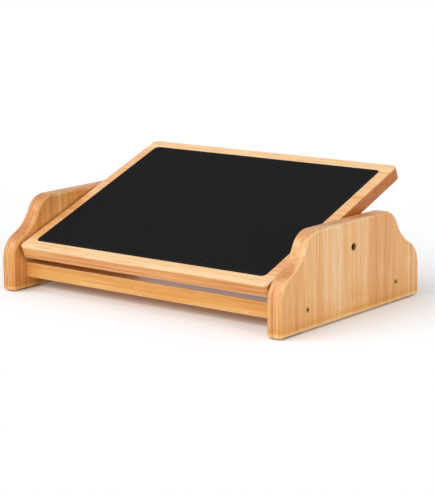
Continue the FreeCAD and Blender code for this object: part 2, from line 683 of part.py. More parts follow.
doc.recompute()
check_document()
export_pieces()
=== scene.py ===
# %% [markdown]
# A bamboo footrest, ready for its portrait.
#
# The solid model of the footrest already exists: thirty-six pieces, each one where it belongs.
# This lesson dresses it. It gives the bamboo its strips, fibres and lacquer, turns plain shanks
# into threaded screws, lays a rubber mat with raised diamonds in the platform, and sets up a
# white studio round it. Everything is in metres, and the footrest stands on the floor at the
# origin: X runs across it, Y runs from front to back, and Z runs up.

# %% Load the solid model
import json
import math

import bpy
from mathutils import Matrix, Vector


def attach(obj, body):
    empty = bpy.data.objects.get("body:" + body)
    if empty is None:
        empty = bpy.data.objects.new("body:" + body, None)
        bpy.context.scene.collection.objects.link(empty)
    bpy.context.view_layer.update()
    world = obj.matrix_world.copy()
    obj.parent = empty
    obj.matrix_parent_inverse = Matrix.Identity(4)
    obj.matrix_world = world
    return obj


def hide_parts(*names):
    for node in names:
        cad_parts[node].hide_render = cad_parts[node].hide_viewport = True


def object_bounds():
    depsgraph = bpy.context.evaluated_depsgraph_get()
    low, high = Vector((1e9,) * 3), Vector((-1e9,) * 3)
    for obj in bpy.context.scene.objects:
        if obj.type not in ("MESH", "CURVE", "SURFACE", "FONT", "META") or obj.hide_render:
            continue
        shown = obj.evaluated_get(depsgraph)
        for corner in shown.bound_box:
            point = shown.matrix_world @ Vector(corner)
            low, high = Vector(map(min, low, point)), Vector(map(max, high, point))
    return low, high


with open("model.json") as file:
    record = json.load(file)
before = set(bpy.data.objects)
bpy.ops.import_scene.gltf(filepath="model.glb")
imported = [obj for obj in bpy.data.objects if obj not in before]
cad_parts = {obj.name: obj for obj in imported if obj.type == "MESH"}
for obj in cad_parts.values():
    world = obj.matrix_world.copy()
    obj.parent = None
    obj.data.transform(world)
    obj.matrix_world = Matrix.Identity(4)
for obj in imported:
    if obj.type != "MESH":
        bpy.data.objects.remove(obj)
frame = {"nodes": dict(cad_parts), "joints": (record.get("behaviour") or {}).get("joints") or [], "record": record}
solid_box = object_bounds()

MM = 0.001
QUARTER_TURN = math.pi / 2
SIDES = (("left", -1), ("right", 1))
ENDS = ("front", "rear")
solids = frame["nodes"]

# %% [markdown]
# The platform hangs on two bolts and is tilted at rest, so its pieces are easier to build in the
# platform's own coordinates: X along the pivot axis, Z square to the board. The pivot is a joint
# of the solid model. The tilt could be typed in, but reading it from the largest flat face of the
# board keeps the two models together if the tilt ever changes.

# %% Find the pivot and the tilt
pivot = Vector(frame["joints"][0]["pos_m"])
flat_face = max(solids["platform_board"].data.polygons, key=lambda face: face.area)
upright = flat_face.normal * math.copysign(1, flat_face.normal.z)
tilt = math.atan2(-upright.y, upright.z)
FLOOR_SPACE = Matrix.Identity(4)
PLATFORM_SPACE = Matrix.Translation(pivot) @ Matrix.Rotation(tilt, 4, "X")
print("pivot:", tuple(round(v, 4) for v in pivot), "tilt:", round(math.degrees(tilt), 2))


def own_box(node, space):
    """Lowest and highest corner of a solid, seen in a space of its own."""
    to_space = space.inverted()
    points = [to_space @ vertex.co for vertex in solids[node].data.vertices]
    low = Vector(min(point[axis] for point in points) for axis in range(3))
    high = Vector(max(point[axis] for point in points) for axis in range(3))
    return low, high


def middle_of(node, space):
    """The middle of a solid, seen in a space of its own."""
    low, high = own_box(node, space)
    return (low + high) / 2


# %% [markdown]
# Every shader below is made of small nodes wired together. A few helpers keep that short: they
# set a socket from a number or from another node, add a node, work with numbers or vectors, fade
# between two values and mix two colours. A sum of numbers that never change belongs in plain
# arithmetic, so these are used only for things that vary over the surface.

# %% Helpers for wiring nodes
WHITE = (1.0, 1.0, 1.0, 1.0)


def feed(tree, socket, value):
    """Sets a socket to a number, or links another node's output to it."""
    if isinstance(value, bpy.types.NodeSocket):
        tree.links.new(value, socket)
    else:
        socket.default_value = value


def add_node(tree, kind, settings=None, **values):
    """Adds a shader node, with its settings and the values of its named inputs."""
    node = tree.nodes.new("ShaderNode" + kind)
    for name, value in (settings or {}).items():
        setattr(node, name, value)
    for name, value in values.items():
        feed(tree, node.inputs[name.replace("_", " ")], value)
    return node


def operate(tree, kind, operation, values):
    """One node that does an operation on its inputs, in their order."""
    node = add_node(tree, kind, {"operation": operation})
    for socket, value in zip(node.inputs, values):
        feed(tree, socket, value)
    return node.outputs


def sum_up(tree, operation, *values):
    """Arithmetic on numbers that vary over the surface."""
    return operate(tree, "Math", operation, values)["Value"]


def vector_sum(tree, operation, *values):
    """Arithmetic on vectors. A dot product gives a number."""
    result = "Value" if operation == "DOT_PRODUCT" else "Vector"
    return operate(tree, "VectorMath", operation, values)[result]


def parts_of(tree, vector):
    """The X, Y and Z of a vector."""
    return add_node(tree, "SeparateXYZ", Vector=vector).outputs


def thrice(tree, value):
    """A vector with the same number three times."""
    return add_node(tree, "CombineXYZ", X=value, Y=value, Z=value).outputs[0]


def fade(tree, value, start, end, low=0.0, high=1.0):
    """A soft step: low below start, high above end."""
    node = add_node(tree, "MapRange", {"interpolation_type": "SMOOTHSTEP"}, Value=value)
    node.inputs["From Min"].default_value = start
    node.inputs["From Max"].default_value = end
    node.inputs["To Min"].default_value = low
    node.inputs["To Max"].default_value = high
    return node.outputs["Result"]


def blend_colours(tree, share, first, second, kind="MIX"):
    """Mixes two colours by a share. Sockets 0, 6 and 7 are the colour ones of a Mix node."""
    node = add_node(tree, "Mix", {"data_type": "RGBA", "blend_type": kind})
    feed(tree, node.inputs[0], share)
    feed(tree, node.inputs[6], first)
    feed(tree, node.inputs[7], second)
    return node.outputs[2]


# %% [markdown]
# An effect that several materials share becomes a node group: a small tree with named inputs and
# outputs, built once and placed wherever it is wanted. The kind of an input follows from its
# default: a number, a vector of three numbers or a colour of four.

# %% Helpers for node groups
def new_group(name, inputs, outputs):
    """A shader node group. inputs maps a label to a default, outputs maps a label to a kind."""
    tree = bpy.data.node_groups.new(name, "ShaderNodeTree")
    for label, default in inputs.items():
        if isinstance(default, float):
            socket_type = "NodeSocketFloat"
        elif len(default) == 4:
            socket_type = "NodeSocketColor"
        else:
            socket_type = "NodeSocketVector"
        socket = tree.interface.new_socket(label, in_out="INPUT", socket_type=socket_type)
        socket.default_value = default
    for label, kind in outputs.items():
        tree.interface.new_socket(label, in_out="OUTPUT", socket_type="NodeSocket" + kind)
    entry = tree.nodes.new("NodeGroupInput")
    result = tree.nodes.new("NodeGroupOutput")
    return tree, entry.outputs, result.inputs


def place_group(tree, group, **values):
    """Puts a node group in a material, with this material's own values."""
    return add_node(tree, "Group", {"node_tree": group}, **values).outputs


# %% [markdown]
# Laminated bamboo is not like timber. A stalk is split into strips about twenty millimetres wide,
# the strips are planed, steamed and glued side by side and in layers, and the board is cut from
# that block. So the look has four parts: strips that each have a shade of their own, long
# straight fibres inside a strip, a knuckle across a strip every quarter metre or so, and dark
# dots on the sawn ends where the fibres are cut through. An image could show this, but only from
# one side. A solid pattern, worked out from the place in the block, runs on round the edges as it
# does in the real board, so one node group makes it for panels, board, slats and blocks alike.
# Its position input is in millimetres: X along the fibres, Y across the strips, Z through the
# layers.

# %% The laminated bamboo group: strips, layers and fibres
STREAK_STRETCH = 0.008
STREAK_DETAIL = 3.0
FIBRE_STRETCH = 0.03
FIBRE_SHARE = 0.30
FIBRE_DETAIL = 2.0
DRIFT_STRETCH = 0.006
DRIFT_SIZE = 9.0
LAYER_STAGGER = 0.38
GLUE_WIDTH = 0.30
LAYER_WIDTH = 0.60

bamboo_group, given, out = new_group(
    "laminated bamboo",
    {
        "Position": (0.0, 0.0, 0.0), "Strip Width": 20.0, "Layer Height": 7.3,
        "End Grain": 0.0, "End Tint": (0.68, 0.44, 0.26, 1.0), "Edge": 0.0, "Tint": WHITE,
        "Shade": 0.5, "Variation": 0.3, "Streaks": 0.5, "Streak Size": 2.0, "Fibres": 0.42,
        "Lines": 0.3, "Knuckles": 0.5, "Batch": 0.0,
    },
    {"Color": "Color", "Roughness": "Float", "Height": "Float"},
)
tree = bamboo_group
along, across, through = parts_of(tree, given["Position"])

layer = sum_up(tree, "DIVIDE", through, given["Layer Height"])
layer_number = sum_up(tree, "FLOOR", layer)
stagger = sum_up(tree, "MULTIPLY", layer_number, LAYER_STAGGER)
strip = sum_up(tree, "ADD", sum_up(tree, "DIVIDE", across, given["Strip Width"]), stagger)
strip_number = sum_up(tree, "FLOOR", strip)
cell = add_node(tree, "CombineXYZ", X=strip_number, Y=layer_number, Z=given["Batch"])
luck = add_node(tree, "TexWhiteNoise", {"noise_dimensions": "3D"}, Vector=cell.outputs[0]).outputs


def seam(tree, share, size, half_width):
    """1 on the glue line between neighbours, 0 away from it."""
    inside = sum_up(tree, "FRACT", share)
    nearest = sum_up(tree, "MINIMUM", inside, sum_up(tree, "SUBTRACT", 1.0, inside))
    return fade(tree, sum_up(tree, "MULTIPLY", nearest, size), 0.0, half_width, 1.0, 0.0)


def grain_noise(tree, stretch, size, detail, shift=37.0):
    """Noise drawn out along the fibres, different in every strip. size is how wide it is in mm."""
    density = sum_up(tree, "DIVIDE", 1.0, size)
    scale = add_node(tree, "CombineXYZ", X=stretch, Y=density, Z=density).outputs[0]
    drawn = vector_sum(tree, "MULTIPLY", given["Position"], scale)
    moved = vector_sum(tree, "MULTIPLY_ADD", luck["Color"], (shift, shift, shift), drawn)
    return add_node(tree, "TexNoise", Vector=moved, Scale=1.0, Detail=detail).outputs["Fac"]


def swing(tree, value, strength):
    """A value round one half, turned into one round zero."""
    return sum_up(tree, "MULTIPLY", sum_up(tree, "SUBTRACT", value, 0.5), strength)


streaks = grain_noise(tree, STREAK_STRETCH, given["Streak Size"], STREAK_DETAIL)
fibre_size = sum_up(tree, "MULTIPLY", given["Streak Size"], FIBRE_SHARE)
fibres = grain_noise(tree, FIBRE_STRETCH, fibre_size, FIBRE_DETAIL)
drift = grain_noise(tree, DRIFT_STRETCH, DRIFT_SIZE, 1.0, shift=DRIFT_SIZE)
glue_line = seam(tree, strip, given["Strip Width"], GLUE_WIDTH)
layer_line = seam(tree, layer, given["Layer Height"], LAYER_WIDTH)

# %% [markdown]
# A knuckle is where a leaf once grew: a thin dark line straight across a strip, with a paler zone
# round it. Every strip has its knuckles in places of its own, so they don't line up over the board.
# The dots of the sawn ends come from cells that are long along the fibres, because it is the same
# fibres that are cut through.

# %% Knuckles and sawn ends of the bamboo
KNUCKLE_SPACING = 262.0
KNUCKLE_WOBBLE = 5.0
KNUCKLE_LINE = (0.3, 1.6)
KNUCKLE_GLOW = (1.5, 11.0)
DOT_SCALE = (0.05, 1.5, 1.5)
DOT_EDGE = (0.12, 0.42)

strip_luck = parts_of(tree, luck["Color"])[0]
knuckle_place = sum_up(tree, "MULTIPLY_ADD", strip_luck, KNUCKLE_SPACING, along)
knuckle_turn = sum_up(tree, "FRACT", sum_up(tree, "DIVIDE", knuckle_place, KNUCKLE_SPACING))
knuckle_gap = sum_up(tree, "ABSOLUTE", sum_up(tree, "SUBTRACT", knuckle_turn, 0.5))
wobble = swing(tree, streaks, KNUCKLE_WOBBLE)
knuckle_away = sum_up(tree, "MULTIPLY_ADD", knuckle_gap, KNUCKLE_SPACING, wobble)
knuckle_away = sum_up(tree, "ABSOLUTE", knuckle_away)
knuckle_line = fade(tree, knuckle_away, *KNUCKLE_LINE, 1.0, 0.0)
knuckle_glow = fade(tree, knuckle_away, *KNUCKLE_GLOW, 1.0, 0.0)

cut_place = vector_sum(tree, "MULTIPLY", given["Position"], DOT_SCALE)
cut_dots = add_node(tree, "TexVoronoi", {"feature": "F1"}, Vector=cut_place, Scale=1.0)
dots = fade(tree, cut_dots.outputs["Distance"], *DOT_EDGE, 1.0, 0.0)

# %% [markdown]
# All of this adds up to one number, the shade, which runs from deep amber to pale straw through a
# colour ramp. Fibres, glue lines, knuckles and the dots of the sawn ends are mixed in afterwards,
# each by its own mask and in its own colour. The roundovers are paler than the flat faces, partly
# because they are sanded after the lacquer has darkened the wood and partly as a painted highlight
# where the lacquer catches the light, so an edge mask lifts the shade there.

# %% Shade, colour and relief of the bamboo
# The edge lift is partly sanded wear and partly a painted highlight on the roundovers.
EDGE_LIGHT = 0.30
DRIFT_STRENGTH = 0.55
GLOW_LIGHT = 0.10
DEEP_TONE = (0.610, 0.215, 0.048, 1.0)
MIDDLE_TONE = (0.775, 0.383, 0.121, 1.0)
PALE_TONE = (0.850, 0.592, 0.328, 1.0)
FIBRE_EDGE = (0.52, 0.68)
FIBRE_TONE = (0.58, 0.245, 0.065, 1.0)
GLUE_SHARE = 0.16
GLUE_TONE = (0.42, 0.18, 0.065, 1.0)
LAYER_TONE = (0.93, 0.70, 0.42, 1.0)
KNUCKLE_TONE = (0.40, 0.17, 0.06, 1.0)
DOT_SHARE = 0.45
DOT_TONE = (0.26, 0.10, 0.035, 1.0)
SMOOTHEST = 0.34
STREAK_ROUGH = 0.16
END_ROUGH = 0.10

strip_shade = sum_up(tree, "SUBTRACT", luck["Value"], 0.5)
shade = sum_up(tree, "MULTIPLY_ADD", strip_shade, given["Variation"], given["Shade"])
shade = sum_up(tree, "MULTIPLY_ADD", given["Edge"], EDGE_LIGHT, shade)
shade = sum_up(tree, "ADD", shade, swing(tree, drift, DRIFT_STRENGTH))
shade = sum_up(tree, "ADD", shade, swing(tree, streaks, given["Streaks"]))
shade = sum_up(tree, "MULTIPLY_ADD", knuckle_glow, GLOW_LIGHT, shade)

tones = add_node(tree, "ValToRGB", Fac=shade)
ramp = tones.color_ramp
ramp.elements[0].color = DEEP_TONE
ramp.elements[1].color = PALE_TONE
ramp.elements.new(0.5).color = MIDDLE_TONE

fibre_mask = fade(tree, fibres, *FIBRE_EDGE)
end_mask = given["End Grain"]
colour = tones.outputs["Color"]
for mask, strength, tone in (
    (fibre_mask, given["Fibres"], FIBRE_TONE),
    (glue_line, GLUE_SHARE, GLUE_TONE),
    (layer_line, given["Lines"], LAYER_TONE),
    (knuckle_line, given["Knuckles"], KNUCKLE_TONE),
):
    colour = blend_colours(tree, sum_up(tree, "MULTIPLY", mask, strength), colour, tone)
end_colour = blend_colours(tree, 1.0, colour, given["End Tint"], "MULTIPLY")
dot_mask = sum_up(tree, "MULTIPLY", dots, DOT_SHARE)
end_colour = blend_colours(tree, dot_mask, end_colour, DOT_TONE)
colour = blend_colours(tree, end_mask, colour, end_colour)
colour = blend_colours(tree, 1.0, colour, given["Tint"], "MULTIPLY")

feed(tree, out["Color"], colour)
rough = sum_up(tree, "MULTIPLY_ADD", streaks, STREAK_ROUGH, SMOOTHEST)
feed(tree, out["Roughness"], sum_up(tree, "MULTIPLY_ADD", end_mask, END_ROUGH, rough))
relief = sum_up(tree, "MULTIPLY_ADD", fibres, 0.5, sum_up(tree, "MULTIPLY", streaks, 0.5))
relief = sum_up(tree, "SUBTRACT", relief, sum_up(tree, "MULTIPLY", knuckle_line, 0.5))
feed(tree, out["Height"], relief)
print("group:", bamboo_group.name, "with", len(bamboo_group.nodes), "nodes")

# %% [markdown]
# Nothing that is used stays evenly clean. Hands leave faint cloudy patches that change how
# sharply a surface shines, and dust sits in them. That haze is the same on lacquer, rubber, nylon
# and metal, only its strength differs, so it is a group too: noise gives one soft mask.

# %% The handling haze group
CLOUD_EDGE = (0.42, 0.70)
CLOUD_DETAIL = 4.0

haze_group, given, out = new_group(
    "handling haze",
    {"Position": (0.0, 0.0, 0.0), "Patch Size": 40.0, "Strength": 0.5},
    {"Mask": "Float"},
)
tree = haze_group
scaled = vector_sum(tree, "DIVIDE", given["Position"], thrice(tree, given["Patch Size"]))
clouds = add_node(tree, "TexNoise", Vector=scaled, Scale=1.0, Detail=CLOUD_DETAIL).outputs["Fac"]
cloud_mask = fade(tree, clouds, *CLOUD_EDGE)
feed(tree, out["Mask"], sum_up(tree, "MULTIPLY", cloud_mask, given["Strength"]))
print("group:", haze_group.name)

# %% [markdown]
# A material needs to know where it is. The coordinates of the object are in metres and stay with
# the piece when it tilts, so a Mapping node turns them into millimetres along the fibres, across
# the strips and through the layers. The panels' fibres stand upright, the other pieces' fibres
# run across the footrest, and the platform's pieces are also tilted. Two masks come from the
# surface's direction: one finds the sawn ends, the other the roundovers.

# %% Start a material in its own coordinates
END_FACES = (0.55, 0.95)
ROUNDOVER_PEAK = 0.25
SIDE_CHANGE = 0.1


def map_points(tree, socket, turn, shift, scale):
    """A Mapping node that scales, then turns, then moves."""
    node = add_node(tree, "Mapping", Vector=socket)
    node.inputs["Location"].default_value = [scale * v for v in shift]
    node.inputs["Rotation"].default_value = turn
    node.inputs["Scale"].default_value = (scale, scale, scale)
    return node.outputs["Vector"]


def start_material(name, turn=(0.0, 0.0, 0.0), shift=(0.0, 0.0, 0.0), tilted=False):
    """A new material, its shader, and the place in millimetres in the piece's own directions."""
    material = bpy.data.materials.new(name)
    material.use_nodes = True
    tree = material.node_tree
    coordinates = add_node(tree, "TexCoord").outputs
    spot = coordinates["Object"]
    if tilted:
        level = PLATFORM_SPACE.inverted()
        spot = map_points(tree, spot, level.to_euler(), level.to_translation(), 1.0)
    spot = map_points(tree, spot, turn, shift, 1 / MM)
    return material, tree, tree.nodes["Principled BSDF"], spot, coordinates["Normal"]


def facing(tree, normal, axis):
    """1 where the surface is square to an axis of the object, 0 where it runs along it."""
    lean = vector_sum(tree, "DOT_PRODUCT", normal, axis)
    return fade(tree, sum_up(tree, "ABSOLUTE", lean), *END_FACES)


def rounded_edge(tree, normal, axis, upper, lower):
    """upper or lower amid a roundover, 0 on the flat faces. axis runs through the board."""
    lean = vector_sum(tree, "DOT_PRODUCT", normal, axis)
    square = sum_up(tree, "MULTIPLY", lean, lean)
    product = sum_up(tree, "MULTIPLY", square, sum_up(tree, "SUBTRACT", 1.0, square))
    least, most = lower / ROUNDOVER_PEAK, upper / ROUNDOVER_PEAK
    side = fade(tree, lean, -SIDE_CHANGE, SIDE_CHANGE, least, most)
    return sum_up(tree, "MULTIPLY", product, side)


# %% [markdown]
# Two things can be added to a bamboo board. A maker sorts the strips of the outer layers by eye,
# so a board may have a list of shades, one for each strip across it. And a panel's lower end gets
# painted light and shade: its shade sinks towards the floor as painted shade, then comes a golden
# band of painted light thrown up from the floor, and last a pale line, a painted reflection of the
# floor in the lower roundover. Both change the values that the board gives to the laminated group.

# %% Sorted strips and the foot of a panel
CALM_VARIATION = 0.08
LAYER_CHANGE = 0.02
# Painted shade: the panels grow darker towards the floor.
FOOT_SHADE_UP_TO = 50.0
FOOT_SHADE = 0.16
# Painted light: the golden band stands for light thrown up from the floor.
BOUNCE_RISES = 6.0
BOUNCE_FADES = 8.0
BOUNCE_ENDS = 16.0
BOUNCE_TINT = (0.97, 0.90, 0.58, 1.0)
# Painted reflection: the pale line stands for the floor mirrored in the lower roundover.
GLEAM_FADES = 4.0
GLEAM_ENDS = 7.0
GLEAM_LIGHT = 1.7


def sort_strips(tree, spot, shades, middle, half, look):
    """Gives each strip its shade from a list, in the layers further than half from the middle."""
    _, across, depth = parts_of(tree, spot)
    away = sum_up(tree, "ABSOLUTE", sum_up(tree, "SUBTRACT", depth, middle))
    outer = fade(tree, away, half - LAYER_CHANGE, half + LAYER_CHANGE)
    share = sum_up(tree, "DIVIDE", across, look["Strip_Width"] * len(shades))
    node = add_node(tree, "ValToRGB", Fac=share)
    node.color_ramp.interpolation = "CONSTANT"
    stops = node.color_ramp.elements
    stops.remove(stops[1])
    for number, value in enumerate(shades):
        stop = stops[0] if number == 0 else stops.new(number / len(shades))
        stop.color = (value, value, value, 1.0)
    step = sum_up(tree, "SUBTRACT", node.outputs["Color"], look["Shade"])
    look["Shade"] = sum_up(tree, "MULTIPLY_ADD", step, outer, look["Shade"])
    look["Variation"] = fade(tree, outer, 0.0, 1.0, look["Variation"], CALM_VARIATION)


def paint_foot_light(tree, spot, low_end, look):
    """Paints shade down a panel, and floor light on its foot: a golden band and a pale line."""
    height = sum_up(tree, "ABSOLUTE", parts_of(tree, spot)[0])
    painted_foot_shade = fade(tree, height, low_end, low_end + FOOT_SHADE_UP_TO, -FOOT_SHADE, 0.0)
    look["Shade"] = sum_up(tree, "ADD", look["Shade"], painted_foot_shade)
    rising = fade(tree, height, low_end, low_end + BOUNCE_RISES)
    falling = fade(tree, height, low_end + BOUNCE_FADES, low_end + BOUNCE_ENDS, 1.0, 0.0)
    painted_bounce = sum_up(tree, "MULTIPLY", falling, rising)
    look["Tint"] = blend_colours(tree, painted_bounce, look["Tint"], BOUNCE_TINT)
    painted_gleam = fade(tree, height, low_end + GLEAM_FADES, low_end + GLEAM_ENDS, 1.0, 0.0)
    look["Edge"] = sum_up(tree, "MULTIPLY_ADD", painted_gleam, GLEAM_LIGHT, look["Edge"])


# %% [markdown]
# The bamboo materials share one recipe: the laminated pattern gives colour and roughness, its
# height gives the faint ripple of fibres under the lacquer, and a clear coat over it all gives
# the satin shine. The coat's own roughness is the same all over, so it is typed into the shader.
# The haze mask thins the coat a little in places.

# %% The bamboo recipe
UPRIGHT = (0.0, 0.0, 1.0)
SIDEWAYS = (1.0, 0.0, 0.0)
BOARD_UP = tuple(upright)
WOOD_COAT = 0.45
COAT_ROUGHNESS = 0.16
WOOD_GLOSS = 0.3
FIBRE_DEPTH = 0.06 * MM
FIBRE_RELIEF = 0.5
WOOD_PATCH = 55.0
WOOD_HAZE = 0.15
HAZE_ROUGH = 0.18
HAZE_THINS_COAT = -0.20


def make_bamboo(name, fibre_axis, thickness_axis, turn=(0, 0, 0), shift=(0, 0, 0), tilted=False,
                strips=None, ends=1.0, low_end=None, coat=WOOD_COAT, arris=(1.0, 1.0), **look):
    """One bamboo material. look holds this board's own values for the group.

    strips is (shades, middle, half) for sort_strips. ends is how much the sawn ends darken,
    low_end the height in millimetres of a panel's lower end, where its painted foot light and shade
    start, and arris how pale the upper and the lower roundover are, partly sanded and partly painted
    highlight.
    """
    material, tree, shader, spot, normal = start_material(name, turn, shift, tilted)
    if strips:
        sort_strips(tree, spot, *strips, look)
    end_grain = facing(tree, normal, fibre_axis)
    if ends < 1.0:
        end_grain = sum_up(tree, "MULTIPLY", end_grain, ends)
    look["Edge"] = rounded_edge(tree, normal, thickness_axis, *arris)
    if low_end is not None:
        paint_foot_light(tree, spot, low_end, look)
    bamboo = place_group(tree, bamboo_group, Position=spot, End_Grain=end_grain, **look)
    haze = place_group(
        tree, haze_group, Position=spot, Patch_Size=WOOD_PATCH, Strength=WOOD_HAZE
    )["Mask"]
    rough = sum_up(tree, "MULTIPLY_ADD", haze, HAZE_ROUGH, bamboo["Roughness"])
    feed(tree, shader.inputs["Base Color"], bamboo["Color"])
    feed(tree, shader.inputs["Roughness"], rough)
    thinned = sum_up(tree, "MULTIPLY_ADD", haze, HAZE_THINS_COAT, coat)
    feed(tree, shader.inputs["Coat Weight"], thinned)
    shader.inputs["Coat Roughness"].default_value = COAT_ROUGHNESS
    shader.inputs["Specular IOR Level"].default_value = WOOD_GLOSS
    bump = add_node(
        tree, "Bump", Height=bamboo["Height"], Strength=FIBRE_RELIEF, Distance=FIBRE_DEPTH
    )
    feed(tree, shader.inputs["Normal"], bump.outputs["Normal"])
    return material


# %% [markdown]
# The side panels show most of the bamboo. Their strips stand upright, and on the real panel they
# were sorted by eye: amber at the front, pale round the pivot, then one sharp step to a darker
# batch. So the panels get a listed shade for each strip, front to back. Left and right panels are
# cut from different boards, so the left one has its own order; its shades are also set darker and
# its tint warmer as painted shade, for the inner face that lies in the shadow of the board.

# %% Bamboo of the side panels
PANEL_STRIP = 20.0
STRIPS_START = 146 * MM
LAYER_MARGIN = 0.5 * MM
PANEL_LAYER = 5.75
PANEL_MIDDLE = 11.5
panel_outside = solid_box[1].x + LAYER_MARGIN

right_shades = [
    0.42, 0.44, 0.52, 0.54, 0.75, 0.82, 0.66, 0.56, 0.64, 0.32, 0.40, 0.38, 0.40, 0.57, 0.54,
]
# Set darker partly as painted shade on the left panel's inner face, under the board.
left_shades = [
    0.18, 0.32, 0.14, 0.26, 0.42, 0.28, 0.18, 0.34, 0.40, 0.26, 0.18, 0.34, 0.38, 0.22, 0.30,
]
panel_look = {
    "Strip_Width": PANEL_STRIP, "Layer_Height": PANEL_LAYER, "Streaks": 1.05, "Streak_Size": 3.2,
    "Knuckles": 0.0, "ends": 0.55,
    "low_end": own_box("right_side_panel", FLOOR_SPACE)[0].z / MM,
    "shift": (0.0, STRIPS_START, panel_outside),
}

right_bamboo = make_bamboo(
    "bamboo_right_panel", UPRIGHT, SIDEWAYS, (0.0, QUARTER_TURN, 0.0), Shade=0.45, Variation=0.6,
    Lines=0.35, Batch=3.0, Tint=(1.0, 1.0, 0.98, 1.0),
    strips=(right_shades, PANEL_MIDDLE, PANEL_LAYER), **panel_look,
)
left_bamboo = make_bamboo(
    "bamboo_left_panel", UPRIGHT, SIDEWAYS, (0.0, -QUARTER_TURN, 0.0), Shade=0.20, Variation=0.5,
    Lines=0.75, Batch=8.0, Tint=(0.98, 0.945, 0.845, 1.0), coat=0.28,
    strips=(left_shades, PANEL_MIDDLE, PANEL_LAYER), **panel_look,
)
print("panel strips:", len(right_shades), "each", PANEL_STRIP, "mm wide")

# %% [markdown]
# The platform board, the slats and the blocks are laid the other way: their strips run across the
# footrest, so the fibres follow X. The board's top layer starts and ends with a very pale strip,
# which frames the mat, over darker layers; that paleness is partly the strip's own tone and partly
# a painted reflection of the white room in the lacquer of the front and rear margins. The slats
# are warmer than the rest, so they are tinted, and their arrises are the palest of all, partly
# sanded and partly painted highlight.

# %% Bamboo of the board, slats and blocks
BOARD_STRIP = 20.05
BOARD_START = 143.5 * MM
TOP_LAYER_START = 24.0
SLAT_START = 127.5 * MM
slat_bottom = own_box("front_slat", FLOOR_SPACE)[0].z

# The pale first and last strips are partly tone and partly painted reflection on the margins.
board_shades = [
    0.90, 0.60, 0.52, 0.66, 0.58, 0.46, 0.62, 0.70, 0.54, 0.60, 0.50, 0.64, 0.56, 0.60, 0.86,
]
# The lower arris of the board is lifted strongly: a painted reflection of the floor.
board_bamboo = make_bamboo(
    "bamboo_platform", SIDEWAYS, BOARD_UP, shift=(0.0, BOARD_START, 0.0), tilted=True,
    strips=(board_shades, 0.0, TOP_LAYER_START), Strip_Width=BOARD_STRIP, Layer_Height=6.0,
    Shade=0.33, Variation=0.34, Streaks=1.80, Streak_Size=2.0, Fibres=0.60, Knuckles=0.10,
    Batch=1.0, Tint=(1.08, 1.04, 0.97, 1.0), End_Tint=(0.60, 0.38, 0.12, 1.0), arris=(1.0, 3.5),
)
# The slats' arrises are lifted as painted highlight, the lower one as a painted reflection of the floor.
slat_bamboo = make_bamboo(
    "bamboo_slats", SIDEWAYS, UPRIGHT, shift=(0.0, SLAT_START, LAYER_MARGIN - slat_bottom),
    Strip_Width=20.9, Layer_Height=7.0, Shade=0.42, Variation=0.20, Streaks=0.95, Streak_Size=1.6,
    Lines=0.12, Knuckles=0.10, Batch=5.0, Tint=(1.04, 0.985, 0.68, 1.0), arris=(2.5, 3.5),
)
block_bamboo = make_bamboo(
    "bamboo_blocks", SIDEWAYS, BOARD_UP, tilted=True, Strip_Width=19.0, Layer_Height=6.0,
    Shade=0.50, Variation=0.25, Streaks=0.5, Knuckles=0.3, Batch=6.0,
)

# %% [markdown]
# Rubber, nylon and metal come next. They share a fine grain group, a mix of pimples and drawn
# lines: rubber is mostly pimpled, and turned metal mostly lined. One group with two strengths
# covers all of them.

# %% The fine grain group
LINE_SCALE = (0.6, 0.6, 14.0)

grain_group, given, out = new_group(
    "fine grain",
    {"Position": (0.0, 0.0, 0.0), "Pimple Size": 0.5, "Pimples": 0.5, "Lines": 0.5},
    {"Mask": "Float", "Height": "Float"},
)
tree = grain_group
cells = vector_sum(tree, "DIVIDE", given["Position"], thrice(tree, given["Pimple Size"]))
pimples = add_node(tree, "TexVoronoi", {"feature": "SMOOTH_F1"}, Vector=cells, Scale=1.0)
pimple_part = sum_up(tree, "MULTIPLY", pimples.outputs["Distance"], given["Pimples"])
drawn = vector_sum(tree, "MULTIPLY", given["Position"], LINE_SCALE)
lines = add_node(tree, "TexNoise", Vector=drawn, Scale=1.0, Detail=2.0).outputs["Fac"]
line_part = sum_up(tree, "MULTIPLY", lines, given["Lines"])
feed(tree, out["Mask"], lines)
feed(tree, out["Height"], sum_up(tree, "ADD", pimple_part, line_part))
print("group:", grain_group.name)

# %% [markdown]
# One recipe makes all nine of these materials from two close tones, mixed by grain and haze. The
# mat's diamonds are grey at their tips, partly rubbed and partly painted light where the raised
# tips catch the lamps, so it alone has a third tone above a certain height. The relief of the grain
# is a bump, because it is finer than any mesh.

# %% The recipe for rubber, nylon and metal
SMALL_PATCH = 18.0
GRAIN_SHARE = 0.5
GRAIN_RELIEF = 0.6
PLAIN_HAZE_ROUGH = 0.15
LENGTHWISE = (0.0, QUARTER_TURN, 0.0)
TIPS = (27.16, 27.46)
# Painted light and wear: the raised tips of the mat's diamonds are turned grey.
TIP_GREY = (0.058, 0.058, 0.058, 1.0)


